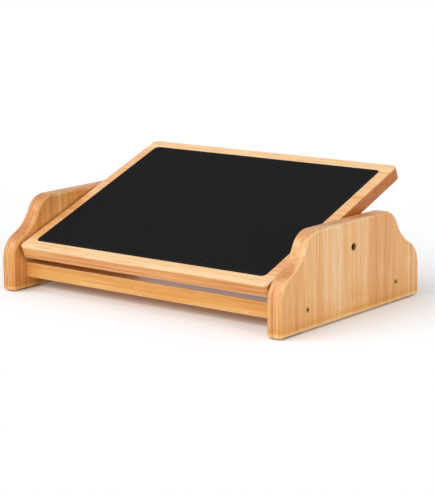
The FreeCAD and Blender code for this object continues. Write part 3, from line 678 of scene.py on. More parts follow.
def make_plain(name, dark, light, rough, metallic=0.0, gloss=0.5, turn=(0, 0, 0), tilted=False,
               pimples=0.5, lines=0.0, pimple_size=0.5, depth=0.03 * MM, haze=0.4, worn_and_lit_tips=False):
    """A rubber, plastic or metal: two close tones mixed by grain and haze, and grey tips as wear and painted
    light.
    """
    material, tree, shader, spot, _ = start_material(name, turn, tilted=tilted)
    grain = place_group(
        tree, grain_group, Position=spot, Pimple_Size=pimple_size, Pimples=pimples, Lines=lines
    )
    cloud = place_group(
        tree, haze_group, Position=spot, Patch_Size=SMALL_PATCH, Strength=haze
    )["Mask"]
    share = sum_up(tree, "MULTIPLY_ADD", grain["Mask"], GRAIN_SHARE, cloud)
    colour = blend_colours(tree, share, (*dark, 1.0), (*light, 1.0))
    if worn_and_lit_tips:
        colour = blend_colours(tree, fade(tree, parts_of(tree, spot)[2], *TIPS), colour, TIP_GREY)
    feed(tree, shader.inputs["Base Color"], colour)
    dull = sum_up(tree, "MULTIPLY_ADD", cloud, PLAIN_HAZE_ROUGH, rough)
    feed(tree, shader.inputs["Roughness"], dull)
    shader.inputs["Metallic"].default_value = metallic
    shader.inputs["Specular IOR Level"].default_value = gloss
    bump = add_node(tree, "Bump", Height=grain["Height"], Strength=GRAIN_RELIEF, Distance=depth)
    feed(tree, shader.inputs["Normal"], bump.outputs["Normal"])
    return material


# %% [markdown]
# Rubber is dull and nearly black, nylon is milky, and each metal is two tones of one colour, with
# its lines drawn along the piece. Two of the materials aren't pieces of their own: the painted
# shadow in a screw's cross recess, and the painted shade on the wall of the pivot hole.

# %% Rubber, nylon and metal
turned_metal = {"turn": LENGTHWISE, "pimples": 0.1, "depth": 0.01 * MM}
mat_rubber = make_plain(
    "black_mat_rubber", (0.0006, 0.0006, 0.0007), (0.0016, 0.0016, 0.0016), 0.80, gloss=0.03,
    tilted=True, pimple_size=0.35, depth=0.04 * MM, haze=0.25, worn_and_lit_tips=True,
)
pad_rubber = make_plain(
    "dark_pad_rubber", (0.018, 0.017, 0.016), (0.035, 0.033, 0.031), 0.75, gloss=0.25
)
washer_rubber = make_plain(
    "washer_rubber_grey", (0.030, 0.029, 0.028), (0.055, 0.052, 0.050), 0.70, gloss=0.3
)
bush_nylon = make_plain(
    "milky_nylon", (0.70, 0.68, 0.60), (0.80, 0.78, 0.71), 0.42, pimples=0.3, haze=0.3
)
bolt_steel = make_plain(
    "black_oxide_steel", (0.070, 0.030, 0.008), (0.135, 0.062, 0.019), 0.42, metallic=0.85,
    lines=0.6, **turned_metal,
)
screw_steel = make_plain(
    "yellow_zinc_steel", (0.46, 0.27, 0.09), (0.66, 0.43, 0.17), 0.34, metallic=1.0,
    lines=0.5, **turned_metal,
)
insert_brass = make_plain(
    "turned_brass", (0.62, 0.44, 0.16), (0.80, 0.62, 0.28), 0.28, metallic=1.0,
    lines=0.7, **turned_metal,
)
# Painted shadow for the faces inside a screw's cross recess.
recess_painted_shadow = make_plain(
    "recess_shadow", (0.030, 0.011, 0.003), (0.060, 0.024, 0.008), 0.70, gloss=0.1
)
# Painted shade: the wall of the pivot hole is darker than the wood.
bore_painted_shade = make_plain(
    "bore_wall_painted_shade", (0.38, 0.18, 0.055), (0.52, 0.28, 0.100), 0.75, gloss=0.1
)

# %% [markdown]
# The dowels are beech: even, pinkish and full of short dark flecks. They are hidden in the joints
# but they are real pieces, so they get real wood: the same streak idea as the bamboo, without
# strips.

# %% Beech for the dowels
FLECK_SCALE = (0.35, 2.2, 2.2)
FLECK_EDGE = (0.50, 0.72)
BEECH_TONE = (0.66, 0.42, 0.24, 1.0)
FLECK_TONE = (0.42, 0.22, 0.11, 1.0)
FLECK_DEPTH = 0.05 * MM


def make_beech(name):
    """Plain turned beech with short flecks along the dowel."""
    material, tree, shader, spot, _ = start_material(name)
    drawn = vector_sum(tree, "MULTIPLY", spot, FLECK_SCALE)
    flecks = add_node(tree, "TexNoise", Vector=drawn, Scale=1.0, Detail=3.0).outputs["Fac"]
    mask = fade(tree, flecks, *FLECK_EDGE)
    colour = blend_colours(tree, mask, BEECH_TONE, FLECK_TONE)
    feed(tree, shader.inputs["Base Color"], colour)
    feed(tree, shader.inputs["Roughness"], sum_up(tree, "MULTIPLY_ADD", mask, 0.15, 0.6))
    bump = add_node(tree, "Bump", Height=flecks, Strength=0.5, Distance=FLECK_DEPTH)
    feed(tree, shader.inputs["Normal"], bump.outputs["Normal"])
    return material


beech = make_beech("turned_beech")

# %% [markdown]
# Each solid came in with the name of its finish. That name picks the new material, for the solids
# that keep their shape and for the pieces that will stand in for one. The two panels share a
# finish but not a board, so they are told apart by side.

# %% Dress the solids that keep their shape
finishes = {
    "bamboo_board": board_bamboo,
    "bamboo_slat": slat_bamboo,
    "bamboo_block": block_bamboo,
    "dowel_beech": beech,
    "mat_rubber": mat_rubber,
    "pad_rubber": pad_rubber,
    "washer_rubber": washer_rubber,
    "bush_nylon": bush_nylon,
    "black_steel": bolt_steel,
    "screw_steel": screw_steel,
    "insert_brass": insert_brass,
}
slot_of = {name: solid.data.materials[0].name for name, solid in solids.items()}
bodies = frame["record"]["behaviour"]["bodies"]
body_of = {name: body for body, names in bodies.items() for name in names}


def finish_for(node):
    """The new material of a solid, or of the piece that stands for it."""
    if slot_of[node] == "bamboo_panel":
        return left_bamboo if node.startswith("left") else right_bamboo
    return finishes[slot_of[node]]


for name, solid in solids.items():
    solid.data.materials[0] = finish_for(name)
print("finishes in use:", len(set(slot_of.values())))

# %% [markdown]
# Every new piece but the mat is a stack of rings, joined by a skin. A ring is a row of points with
# a radius and a depth for every angle: a lathe would do for plain screws, but a thread, a flute or
# a cross recess changes the radius round the ring. A board is a stack of outlines. All rings of a
# stack have equal counts, so one function walks round them, and only the ends differ: a flat face
# for a board, a fan of triangles for a screw, and none for a sleeve, whose last ring joins its
# first.

# %% Skin a stack of rings
def walls(rings, steps):
    """The points of a stack, and the faces from each of its first rings to the next one."""
    count = len(rings[0])
    points = [point for ring in rings for point in ring]
    faces = []
    for step in range(steps):
        low, high = step * count, (step + 1) % len(rings) * count
        for k in range(count):
            n = (k + 1) % count
            faces.append((low + k, low + n, high + n, high + k))
    return points, faces


def flat_ended(rings):
    """A skin with one flat face at each end."""
    points, faces = walls(rings, len(rings) - 1)
    last = len(points) - len(rings[0])
    ends = [tuple(range(len(rings[0]) - 1, -1, -1)), tuple(range(last, len(points)))]
    return points, ends + faces


def fan_ended(rings):
    """A skin with a fan of triangles at each end."""
    points, faces = walls(rings, len(rings) - 1)
    count = len(rings[0])
    for start, turn in ((0, -1), (len(points) - count, 1)):
        points.append(sum(points[start:start + count], Vector()) / count)
        for k in range(count):
            pair = (start + k, start + (k + 1) % count)
            faces.append((*pair[::turn], len(points) - 1))
    return points, faces


def sleeve(rings):
    """A skin that joins its last ring to its first."""
    return walls(rings, len(rings))


# %% [markdown]
# A piece then needs a place and the finish of the solid that it stands for. It rides on that
# solid's body, and the solid is hidden. A turned piece is placed by its head, on the face of the
# solid where the real head sits.

# %% Make a piece from a skin
TURNED_SHARP = 35.0


def mesh_object(name, skin, place, material):
    """A plain mesh object, not yet a piece. A skin is its points and its faces."""
    points, faces = skin
    mesh = bpy.data.meshes.new(name)
    mesh.from_pydata([place @ point for point in points], [], faces)
    mesh.materials.append(material)
    thing = bpy.data.objects.new(name, mesh)
    bpy.context.scene.collection.objects.link(thing)
    return thing


def stand_in(piece, node, sharp):
    """Smooths an object up to an angle in degrees, and makes it stand for a solid."""
    piece.data.shade_smooth()
    piece.data.set_sharp_from_angle(angle=math.radians(sharp))
    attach(piece, body_of[node])
    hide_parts(node)
    return piece


def new_piece(name, node, skin, place, sharp=TURNED_SHARP):
    """Makes a piece that stands for a solid, in its place, on its body and in its finish."""
    piece = mesh_object(name, skin, place, finish_for(node))
    piece.data.validate()
    return stand_in(piece, node, sharp)


def turned(angles, profile):
    """Rings from pairs of a radius and a depth. A radius may be a function of the angle."""
    rings = []
    for radius, depth in profile:
        sizes = [radius(angle) if callable(radius) else radius for angle in angles]
        rings.append(
            [Vector((r * math.cos(a), r * math.sin(a), depth)) for a, r in zip(angles, sizes)]
        )
    return rings


def aim(point, direction, space=FLOOR_SPACE):
    """A place in a space, with its Z axis along a direction."""
    turn = Vector(direction).to_track_quat("Z", "Y").to_matrix().to_4x4()
    return space @ Matrix.Translation(Vector(point)) @ turn


def stand(node, space, direction, spin=0.0):
    """The place of a turned piece: its head on the solid's face that looks against direction."""
    low, high = own_box(node, space)
    half = (high - low) / 2
    start = (low + high) / 2 - Vector(h * d for h, d in zip(half, direction))
    return aim(start, direction, space) @ Matrix.Rotation(spin, 4, "Z")


# %% [markdown]
# The wood comes first. Its solids are right in shape, but their curves were cut into short flats
# to keep them light, and a lacquered edge shows every flat as a broken highlight. So each board
# is skinned again, finely, from the same sizes: an outline, drawn at several insets, is stacked
# into rings that follow the roundover. Subdividing the solids would also smooth them, but it
# would melt the crisp arrises and the holes.

# %% Round over an outline
ROUND_STEPS = 7
CORNER_STEPS = 12
PAD_STEPS = 8
CORNERS = ((1, 1), (-1, 1), (-1, -1), (1, -1))


def rounded_rectangle(half_x, half_y, radius, height, steps):
    """An outline, anticlockwise. radius may be a function of the corner's side, 1 or -1 in X."""
    points = []
    for turns, (cx, cy) in enumerate(CORNERS):
        r = radius(cx) if callable(radius) else radius
        centre = Vector((cx * (half_x - r), cy * (half_y - r), height))
        for step in range(steps + 1):
            angle = QUARTER_TURN * (turns + step / steps)
            points.append(centre + Vector((r * math.cos(angle), r * math.sin(angle), 0.0)))
    return points


def moved(points, middle):
    """Points shifted level to a middle."""
    return [point + Vector((middle.x, middle.y, 0.0)) for point in points]


def rounded_stack(outline, low, high, radius):
    """Rings of a board between two heights. outline(inset, height) gives one ring."""
    turns = [QUARTER_TURN * step / ROUND_STEPS for step in range(ROUND_STEPS + 1)]
    steps = [(radius * (1 - math.sin(turn)), radius * (1 - math.cos(turn))) for turn in turns]
    rings = [outline(inset, low + rise) for inset, rise in steps]
    return rings + [outline(inset, high - rise) for inset, rise in reversed(steps)]


# %% [markdown]
# The holes are cut by a boolean with turned cutters: a list of radii and depths, read from the
# face that the drill enters. A countersink and a counterbore are only extra steps in that list. A
# cutter starts a little outside the wood. The boards are cut while they lie level and put in
# their place afterwards, because the boolean is at its most exact where the faces are square to
# the axes.

# %% Cut the holes
HOLE_SIDES = 72
OUTSIDE = 1.0 * MM
WOOD_SHARP = 30.0
LEVEL_WEIGHT = 100
SCREW_HOLE = 2.25 * MM
SCREW_SINK = 4.2 * MM
PILOT_HOLE = 2.0 * MM
DOWEL_HOLE = 4.1 * MM
countersink = [(SCREW_SINK, 0.0), (SCREW_HOLE, SCREW_SINK - SCREW_HOLE)]
hole_angles = [math.tau * k / HOLE_SIDES for k in range(HOLE_SIDES)]


def drill(point, direction, *steps):
    """A cutter from (radius, depth) steps: its rings and its place."""
    return turned(hole_angles, [(steps[0][0], -OUTSIDE), *steps]), aim(point, direction)


def dowel_holes(end, side, face, direction, depth):
    """The two blind holes beside a slat's screw, drilled from a face."""
    holes = []
    for number in (1, 2):
        spot = middle_of(f"{end}_{side}_dowel_{number}", FLOOR_SPACE)
        point = (face, spot.y, spot.z)
        holes.append(drill(point, direction, (DOWEL_HOLE, 0.0), (DOWEL_HOLE, depth)))
    return holes


def cut_piece(name, node, rings, space, cutters):
    """Skins a board, cuts its holes while it lies level, and makes it stand for its solid.

    A cutter is its rings and its place, and the finish of the wall that it leaves if not wood.
    """
    wood = finish_for(node)
    blank = mesh_object(name + "_blank", flat_ended(rings), Matrix.Identity(4), wood)
    tools = []
    for number, (cutter_rings, place, *wall) in enumerate(cutters):
        finish = wall[0] if wall else wood
        tool = mesh_object(f"{name}_cutter_{number}", flat_ended(cutter_rings), place, finish)
        cut = blank.modifiers.new(f"cut_{number}", "BOOLEAN")
        cut.object = tool
        cut.operation = "DIFFERENCE"
        cut.solver = "EXACT"
        cut.material_mode = "TRANSFER"
        tools.append(tool)
    bpy.context.view_layer.update()
    graph = bpy.context.evaluated_depsgraph_get()
    mesh = bpy.data.meshes.new_from_object(blank.evaluated_get(graph))
    mesh.name = name
    mesh.transform(space)
    for thing in [blank, *tools]:
        bpy.data.objects.remove(thing)
    piece = bpy.data.objects.new(name, mesh)
    bpy.context.scene.collection.objects.link(piece)
    level = piece.modifiers.new("level_flats", "WEIGHTED_NORMAL")
    level.keep_sharp = True
    level.weight = LEVEL_WEIGHT
    print(name, "faces:", len(mesh.polygons), "finishes:", len(mesh.materials))
    return stand_in(piece, node, WOOD_SHARP)


# %% [markdown]
# A side panel is drawn as one line: a straight end, a shoulder, a hollow, a crown and a flat top,
# each arc running into the next without a corner. The hollow's centre lies where two circles
# cross, one round the shoulder's centre and one round the crown's. Because every joint is
# tangent, the inset outline is simply the same line with larger and smaller radii. The lower
# corners are broken with a small radius, as sanding leaves them.

# %% The outline of a side panel
END_HEIGHT = 40 * MM
SHOULDER = 37 * MM
HOLLOW = 58 * MM
CROWN = 31 * MM
FLAT_TOP = 144 * MM
FOOT_CORNER = 2.5 * MM
LEAST_CORNER = 0.05 * MM
OUTLINE_STEP = 1.6 * MM


def arc_points(centre, radius, start, end, length):
    """Points along an arc, close enough for a smooth edge, without its last one."""
    steps = max(3, round(length / OUTLINE_STEP))
    turns = [start + (end - start) * k / steps for k in range(steps)]
    return [(centre[0] + radius * math.cos(t), centre[1] + radius * math.sin(t)) for t in turns]


def line_points(start, end, length):
    """Points along a straight part, four times as far apart, without its last one."""
    steps = max(2, round(length / (4 * OUTLINE_STEP)))
    return [tuple(a + (b - a) * k / steps for a, b in zip(start, end)) for k in range(steps)]


def panel_line(half, height):
    """The rear half of the panel's outline, as a function of the inset."""
    shoulder_at = Vector((half - SHOULDER, END_HEIGHT))
    crown_at = Vector((FLAT_TOP / 2, height - CROWN))
    span = crown_at - shoulder_at
    reach = SHOULDER + HOLLOW
    along = (reach ** 2 - (CROWN + HOLLOW) ** 2 + span.length ** 2) / (2 * span.length)
    aside = math.sqrt(reach ** 2 - along ** 2)
    unit = span.normalized()
    hollow_at = shoulder_at + unit * along + Vector((unit.y, -unit.x)) * aside
    leave = math.atan2(*(hollow_at - shoulder_at).yx)
    land = math.atan2(*(hollow_at - crown_at).yx)
    bend = HOLLOW * (leave - land)

    def points(inset):
        corner = max(FOOT_CORNER - inset, LEAST_CORNER)
        foot_at = (half - inset - corner, inset + corner)
        side, top = half - inset, height - inset
        line = line_points((0.0, inset), (foot_at[0], inset), half)
        line += arc_points(foot_at, corner, -QUARTER_TURN, 0.0, 4 * OUTLINE_STEP)
        line += line_points((side, foot_at[1]), (side, END_HEIGHT), END_HEIGHT)
        line += arc_points(shoulder_at, SHOULDER - inset, 0.0, leave, SHOULDER * leave)
        line += arc_points(hollow_at, HOLLOW + inset, leave - math.pi, land - math.pi, bend)
        over = CROWN * (QUARTER_TURN - land)
        line += arc_points(crown_at, CROWN - inset, land, QUARTER_TURN, over)
        line += line_points((FLAT_TOP / 2, top), (0.0, top), FLAT_TOP / 2)
        return line

    return points


# %% [markdown]
# With its outline drawn, a panel is stacked up across its thickness and drilled: from the outside
# for the bolt and the two slat screws, from the inside for the dowels. The pivot hole has a
# counterbore for the bolt's head, and its wall gets a darker colour as painted shade.

# %% The side panels
PANEL_ROUND = 4 * MM
PIVOT_BORE = 4.03 * MM
HEAD_BORE = 4.75 * MM
HEAD_BORE_DEPTH = 7.1 * MM
THROUGH_PANEL = 24.0 * MM
DOWEL_IN_PANEL = 10.1 * MM


def side_panel(side, sign):
    """A side panel with its pivot hole, screw holes and dowel holes."""
    node = f"{side}_side_panel"
    low, high = own_box(node, FLOOR_SPACE)
    rear_line = panel_line(high.y, high.z - low.z)
    outer, inner = (high.x, low.x) if sign > 0 else (low.x, high.x)
    inward, outward = (-sign, 0, 0), (sign, 0, 0)

    def outline(inset, height):
        rear = rear_line(inset)
        front = [(-y, z) for y, z in reversed(rear[1:])]
        top = [(0.0, high.z - low.z - inset)]
        return [Vector((height, y, low.z + z)) for y, z in rear + top + front]

    pivot_hole = drill(
        (outer, pivot.y, pivot.z), inward, (HEAD_BORE, 0.0), (HEAD_BORE, HEAD_BORE_DEPTH),
        (PIVOT_BORE, HEAD_BORE_DEPTH), (PIVOT_BORE, THROUGH_PANEL),
    )
    cutters = [(*pivot_hole, bore_painted_shade)]
    for end in ENDS:
        spot = middle_of(f"{end}_{side}_slat_screw", FLOOR_SPACE)
        point = (outer, spot.y, spot.z)
        cutters.append(drill(point, inward, *countersink, (SCREW_HOLE, THROUGH_PANEL)))
        cutters += dowel_holes(end, side, inner, outward, DOWEL_IN_PANEL)
    rings = rounded_stack(outline, low.x, high.x, PANEL_ROUND)
    return cut_piece(f"{node}_wood", node, rings, FLOOR_SPACE, cutters)


for side, sign in SIDES:
    side_panel(side, sign)

# %% [markdown]
# The slats are plain: a rectangle with small roundovers, run along X. Their ends are flat because
# they butt against the panels, and each end has one pilot hole and two dowel holes.

# %% The slats
SLAT_ROUND = 2 * MM
PILOT_IN_SLAT = 35.2 * MM
DOWEL_IN_SLAT = 20.1 * MM


def slat(end):
    """A slat between the panels, with the holes in its ends."""
    node = f"{end}_slat"
    low, high = own_box(node, FLOOR_SPACE)
    middle, half = (low + high) / 2, (high - low) / 2
    section = rounded_rectangle(half.y, half.z, SLAT_ROUND, 0.0, ROUND_STEPS)
    rings = [
        [Vector((x, middle.y + point.x, middle.z + point.y)) for point in section]
        for x in (low.x, high.x)
    ]
    cutters = []
    for side, sign in SIDES:
        face = high.x if sign > 0 else low.x
        inward = (-sign, 0, 0)
        point = (face, middle.y, middle.z)
        cutters.append(drill(point, inward, (PILOT_HOLE, 0.0), (PILOT_HOLE, PILOT_IN_SLAT)))
        cutters += dowel_holes(end, side, face, inward, DOWEL_IN_SLAT)
    return cut_piece(f"{node}_wood", node, rings, FLOOR_SPACE, cutters)


for end in ENDS:
    slat(end)

# %% [markdown]
# The platform board is a rounded rectangle with a roundover above and below. A shallow recess
# holds the mat, and its rim is the fine dark line round the rubber. Four blind pilot holes in the
# underside take the block screws.

# %% The platform board
BOARD_CORNER = 8 * MM
BOARD_ROUND = 2 * MM
MAT_RECESS_DEPTH = 1.5 * MM
MAT_RECESS_GAP = 0.2 * MM
MAT_RECESS_CORNER = 7 * MM
PILOT_IN_BOARD = 13.2 * MM


def platform_board():
    """The tilting board, with the mat's recess and the pilot holes."""
    node = "platform_board"
    low, high = own_box(node, PLATFORM_SPACE)
    middle, half = (low + high) / 2, (high - low) / 2

    def outline(inset, height):
        corner = BOARD_CORNER - inset
        ring = rounded_rectangle(half.x - inset, half.y - inset, corner, height, CORNER_STEPS)
        return moved(ring, middle)

    mat_low, mat_high = own_box("anti_slip_mat", PLATFORM_SPACE)
    mat_middle, mat_half = (mat_low + mat_high) / 2, (mat_high - mat_low) / 2
    wide, deep = mat_half.x + MAT_RECESS_GAP, mat_half.y + MAT_RECESS_GAP
    recess = [
        rounded_rectangle(wide, deep, MAT_RECESS_CORNER, height, CORNER_STEPS)
        for height in (high.z - MAT_RECESS_DEPTH, high.z + OUTSIDE)
    ]
    cutters = [(recess, Matrix.Translation((mat_middle.x, mat_middle.y, 0.0)))]
    for side, _ in SIDES:
        for end in ENDS:
            spot = middle_of(f"{end}_{side}_block_screw", PLATFORM_SPACE)
            steps = (PILOT_HOLE, 0.0), (PILOT_HOLE, PILOT_IN_BOARD)
            cutters.append(drill((spot.x, spot.y, low.z), UPRIGHT, *steps))
    rings = rounded_stack(outline, low.z, high.z, BOARD_ROUND)
    return cut_piece(f"{node}_wood", node, rings, PLATFORM_SPACE, cutters)


platform_board()

# %% [markdown]
# A pivot block sits under each end of the platform. Its two inner corners are rounded, and its
# edges are only eased. The insert's hole has a step for the collar, and the two screw holes are
# countersunk from below.

# %% The pivot blocks
BLOCK_CORNER = 5 * MM
OUTER_CORNER = 0.8 * MM
LEAST_BLOCK_CORNER = 0.1 * MM
BLOCK_EASE = 0.6 * MM
COLLAR_HOLE = 5.53 * MM
COLLAR_HOLE_DEPTH = 1.2 * MM
INSERT_HOLE = 4.03 * MM
INSERT_HOLE_DEPTH = 18.0 * MM
THROUGH_BLOCK = 20.0 * MM


def pivot_block(side, sign):
    """The block that carries the platform on its insert."""
    node = f"{side}_pivot_block"
    low, high = own_box(node, PLATFORM_SPACE)
    middle, half = (low + high) / 2, (high - low) / 2

    def outline(inset, height):
        def corner(side):
            full = OUTER_CORNER if side == sign else BLOCK_CORNER
            return max(full - inset, LEAST_BLOCK_CORNER)

        ring = rounded_rectangle(half.x - inset, half.y - inset, corner, height, ROUND_STEPS)
        return moved(ring, middle)

    outer = high.x if sign > 0 else low.x
    cutters = [drill(
        (outer, 0.0, 0.0), (-sign, 0, 0), (COLLAR_HOLE, 0.0), (COLLAR_HOLE, COLLAR_HOLE_DEPTH),
        (INSERT_HOLE, COLLAR_HOLE_DEPTH), (INSERT_HOLE, INSERT_HOLE_DEPTH),
    )]
    for end in ENDS:
        spot = middle_of(f"{end}_{side}_block_screw", PLATFORM_SPACE)
        steps = *countersink, (SCREW_HOLE, THROUGH_BLOCK)
        cutters.append(drill((spot.x, spot.y, low.z), UPRIGHT, *steps))
    rings = rounded_stack(outline, low.z, high.z, BLOCK_EASE)
    return cut_piece(f"{node}_wood", node, rings, PLATFORM_SPACE, cutters)


for side, sign in SIDES:
    pivot_block(side, sign)

# %% [markdown]
# The wood screws that hold the slats and the pivot blocks are countersunk, with a cross recess
# and a coarse thread. A thread is a ridge that climbs one pitch for each turn, so its phase is
# the depth in pitches less the turn of the angle. It grows in at its start and may taper to a
# point. The recess is a plus sign: along a ray, its edge is either the end of an arm or the flank
# of one, whichever comes first, and the ring's angles include the corners so that they stay
# crisp.

# %% Threads and recesses
RIDGE_SHARE = 0.5
POINT_SIZE = 0.12


def ridge(depth, angle, pitch):
    """Height of a thread, 0 in the groove and 1 on the crest."""
    phase = (depth / pitch - angle / math.tau) % 1.0
    return max(0.0, 1.0 - abs(2 * phase - 1) / RIDGE_SHARE)


def thread_radius(depth, pitch, root, crest, grown, size):
    """The radius of a thread at one depth, as a function of the angle."""
    return lambda angle: size * (root + (crest - root) * grown * ridge(depth, angle, pitch))


def thread(start, end, pitch, root, crest, taper=0.0, per_turn=6):
    """The profile of a thread between two depths."""
    profile = []
    count = max(2, round((end - start) / pitch * per_turn))
    for number in range(count + 1):
        depth = start + (end - start) * number / count
        grown = min(1.0, (depth - start) / pitch)
        size = min(1.0, (end - depth) / taper + POINT_SIZE) if taper else 1.0
        profile.append((thread_radius(depth, pitch, root, crest, grown, size), depth))
    return profile


def plus_sign(half_length, half_width):
    """The edge of a cross recess along a ray."""
    def radius(angle):
        side = angle % QUARTER_TURN
        side = min(side, QUARTER_TURN - side)
        if math.tan(side) * half_length <= half_width:
            return half_length / math.cos(side)
        return half_width / math.sin(side)
    return radius


def hexagon(across_flats):
    """The edge of a hexagon socket along a ray."""
    def radius(angle):
        side = (angle % (math.pi / 3)) - math.pi / 6
        return across_flats / 2 / math.cos(side)
    return radius


# %% [markdown]
# A screw's profile starts at the bottom of its recess, climbs out of it, runs over the head and
# down the shank, and ends in the thread. The faces of the recess get the painted shadow, so that
# it reads as a hole in the golden head.

# %% Wood screws
HEAD_RADIUS = 4.0 * MM
HEAD_DEPTH = 2.6 * MM
NECK = (1.15, 0.3 * MM)
SHANK_RADIUS = 1.5 * MM
CREST_RADIUS = 1.98 * MM
ROOT_RADIUS = 1.35 * MM
WOOD_PITCH = 1.8 * MM
POINT_LENGTH = 4.0 * MM
SLAT_THREAD = 20 * MM
BLOCK_THREAD = 9 * MM
SPINS = (0.30, 1.05)
ARM_LENGTH = 2.2 * MM
ARM_WIDTH = 0.75 * MM
recess_shape = [(0.6, 0.7, 1.6 * MM), (0.92, 0.95, 0.15 * MM), (1.0, 1.0, 0.02 * MM)]
head_shape = [(0.72, 0.0), (0.94, 0.03 * MM), (0.99, 0.14 * MM), (0.72, 1.15 * MM)]

corner = math.degrees(math.atan2(ARM_WIDTH, ARM_LENGTH))
quarter = [0.0, corner / 2, corner, 24.0, 34.5, 45.0, 55.5, 66.0, 90.0 - corner, 90.0 - corner / 2]
cross_angles = [math.radians(90.0 * turn + step) for turn in range(4) for step in quarter]


def wood_screw(node, space, direction, spin, thread_start):
    """A countersunk screw: recess, head, plain shank, thread and point."""
    low, high = own_box(node, space)
    length = (high - low).dot(Vector(abs(part) for part in direction))
    profile = [(plus_sign(ARM_LENGTH * a, ARM_WIDTH * w), depth) for a, w, depth in recess_shape]
    profile += [(HEAD_RADIUS * share, depth) for share, depth in head_shape]
    profile += [(SHANK_RADIUS * NECK[0], HEAD_DEPTH - NECK[1]), (SHANK_RADIUS, HEAD_DEPTH)]
    profile += thread(thread_start, length, WOOD_PITCH, ROOT_RADIUS, CREST_RADIUS, POINT_LENGTH)
    skin = fan_ended(turned(cross_angles, profile))
    screw = new_piece(f"{node}_threaded", node, skin, stand(node, space, direction, spin))
    screw.data.materials.append(recess_painted_shadow)
    count = len(cross_angles)
    for face in screw.data.polygons:
        bottom = len(face.vertices) == 3 and min(face.vertices) < count
        if bottom or max(face.vertices) < 2 * count:
            face.material_index = 1


for side, sign in SIDES:
    for end, spin in zip(ENDS, SPINS):
        inward = (-sign, 0, 0)
        wood_screw(f"{end}_{side}_slat_screw", FLOOR_SPACE, inward, spin + sign, SLAT_THREAD)
        wood_screw(f"{end}_{side}_block_screw", PLATFORM_SPACE, UPRIGHT, spin * 2, BLOCK_THREAD)
print("wood screws:", 2 * len(SIDES) * len(ENDS))

# %% [markdown]
# The pivot bolt is a machine screw: a knurled round head with a hexagon socket, a plain part that
# turns in the bush, and a fine thread that sits in the insert. The knurl is a zigzag in the
# radius, so the head's rings simply alternate between two sizes.

# %% Pivot bolts
BOLT_RADIUS = 2.5 * MM
BOLT_ROOT = 2.05 * MM
BOLT_PITCH = 0.8 * MM
BOLT_HEAD = 4.25 * MM
BOLT_HEAD_HEIGHT = 5.0 * MM
SOCKET_WIDTH = 4.0 * MM
SOCKET_DEPTH = 2.5 * MM
KNURL_DEPTH = 0.13 * MM
KNURLS = 30
PLAIN_LENGTH = 16.0 * MM
BOLT_SPIN = 0.2
bolt_angles = [math.tau * k / 60 for k in range(60)]


def knurl(angle):
    """The head's radius, which zigzags round the ring."""
    return BOLT_HEAD - KNURL_DEPTH * (round(angle / math.tau * KNURLS * 2) % 2)


def pivot_bolt(node, direction):
    """A socket head bolt, from the bottom of its socket to the end of its thread."""
    low, high = own_box(node, FLOOR_SPACE)
    length = high.x - low.x
    start = BOLT_HEAD_HEIGHT + PLAIN_LENGTH
    profile = [
        (0.35 * MM, SOCKET_DEPTH + 0.5 * MM),
        (hexagon(SOCKET_WIDTH), SOCKET_DEPTH),
        (hexagon(SOCKET_WIDTH), 0.35 * MM),
        (SOCKET_WIDTH * 0.60, 0.0),
        (BOLT_HEAD - 0.55 * MM, 0.0),
        (BOLT_HEAD - 0.22 * MM, 0.16 * MM),
        (knurl, 0.55 * MM),
        (knurl, BOLT_HEAD_HEIGHT - 0.3 * MM),
        (BOLT_HEAD - 0.3 * MM, BOLT_HEAD_HEIGHT),
        (BOLT_RADIUS + 0.2 * MM, BOLT_HEAD_HEIGHT),
        (BOLT_RADIUS, BOLT_HEAD_HEIGHT + 0.25 * MM),
        (BOLT_RADIUS, start - 0.4 * MM),
    ]
    profile += thread(start, length - 0.5 * MM, BOLT_PITCH, BOLT_ROOT, BOLT_RADIUS, per_turn=5)
    profile.append((BOLT_ROOT - 0.15 * MM, length))
    skin = fan_ended(turned(bolt_angles, profile))
    place = stand(node, FLOOR_SPACE, direction, BOLT_SPIN)
    return new_piece(f"{node}_socket_head", node, skin, place)


for side, sign in SIDES:
    bolt = pivot_bolt(f"{side}_pivot_bolt", (-sign, 0, 0))
    print(bolt.name, "faces:", len(bolt.data.polygons))

# %% [markdown]
# The bolt screws into a brass insert, which bites into the block with a coarse thread of its own
# and has a flat collar at its mouth. It is a sleeve, so its skin runs down the outside and back
# up through the bore, and closes on itself.

# %% Threaded inserts
INSERT_RADIUS = 4.0 * MM
INSERT_ROOT = 3.35 * MM
INSERT_PITCH = 2.4 * MM
COLLAR_RADIUS = 5.5 * MM
COLLAR_THICKNESS = 1.2 * MM
BORE_RADIUS = 2.53 * MM
CHAMFER = 0.4 * MM


def threaded_insert(node, direction):
    """A collared sleeve with a coarse outer thread."""
    low, high = own_box(node, FLOOR_SPACE)
    length = high.x - low.x
    start, end = COLLAR_THICKNESS + 0.3 * MM, length - 0.6 * MM
    profile = [
        (BORE_RADIUS + CHAMFER, 0.0),
        (COLLAR_RADIUS - 0.25 * MM, 0.0),
        (COLLAR_RADIUS, 0.25 * MM),
        (COLLAR_RADIUS, COLLAR_THICKNESS),
        (INSERT_ROOT, COLLAR_THICKNESS),
        *thread(start, end, INSERT_PITCH, INSERT_ROOT, INSERT_RADIUS),
        (INSERT_ROOT - 0.3 * MM, length),
        (BORE_RADIUS, length),
        (BORE_RADIUS, CHAMFER),
    ]
    skin = sleeve(turned(bolt_angles, profile))
    new_piece(f"{node}_coarse", node, skin, stand(node, FLOOR_SPACE, direction))


for side, sign in SIDES:
    threaded_insert(f"{side}_threaded_insert", (-sign, 0, 0))

# %% [markdown]
# Dowels are fluted so that glue and air can escape as they are driven in, and their ends are
# chamfered so that they find the hole. The flutes are grooves in the radius that fade out at the
# chamfers.

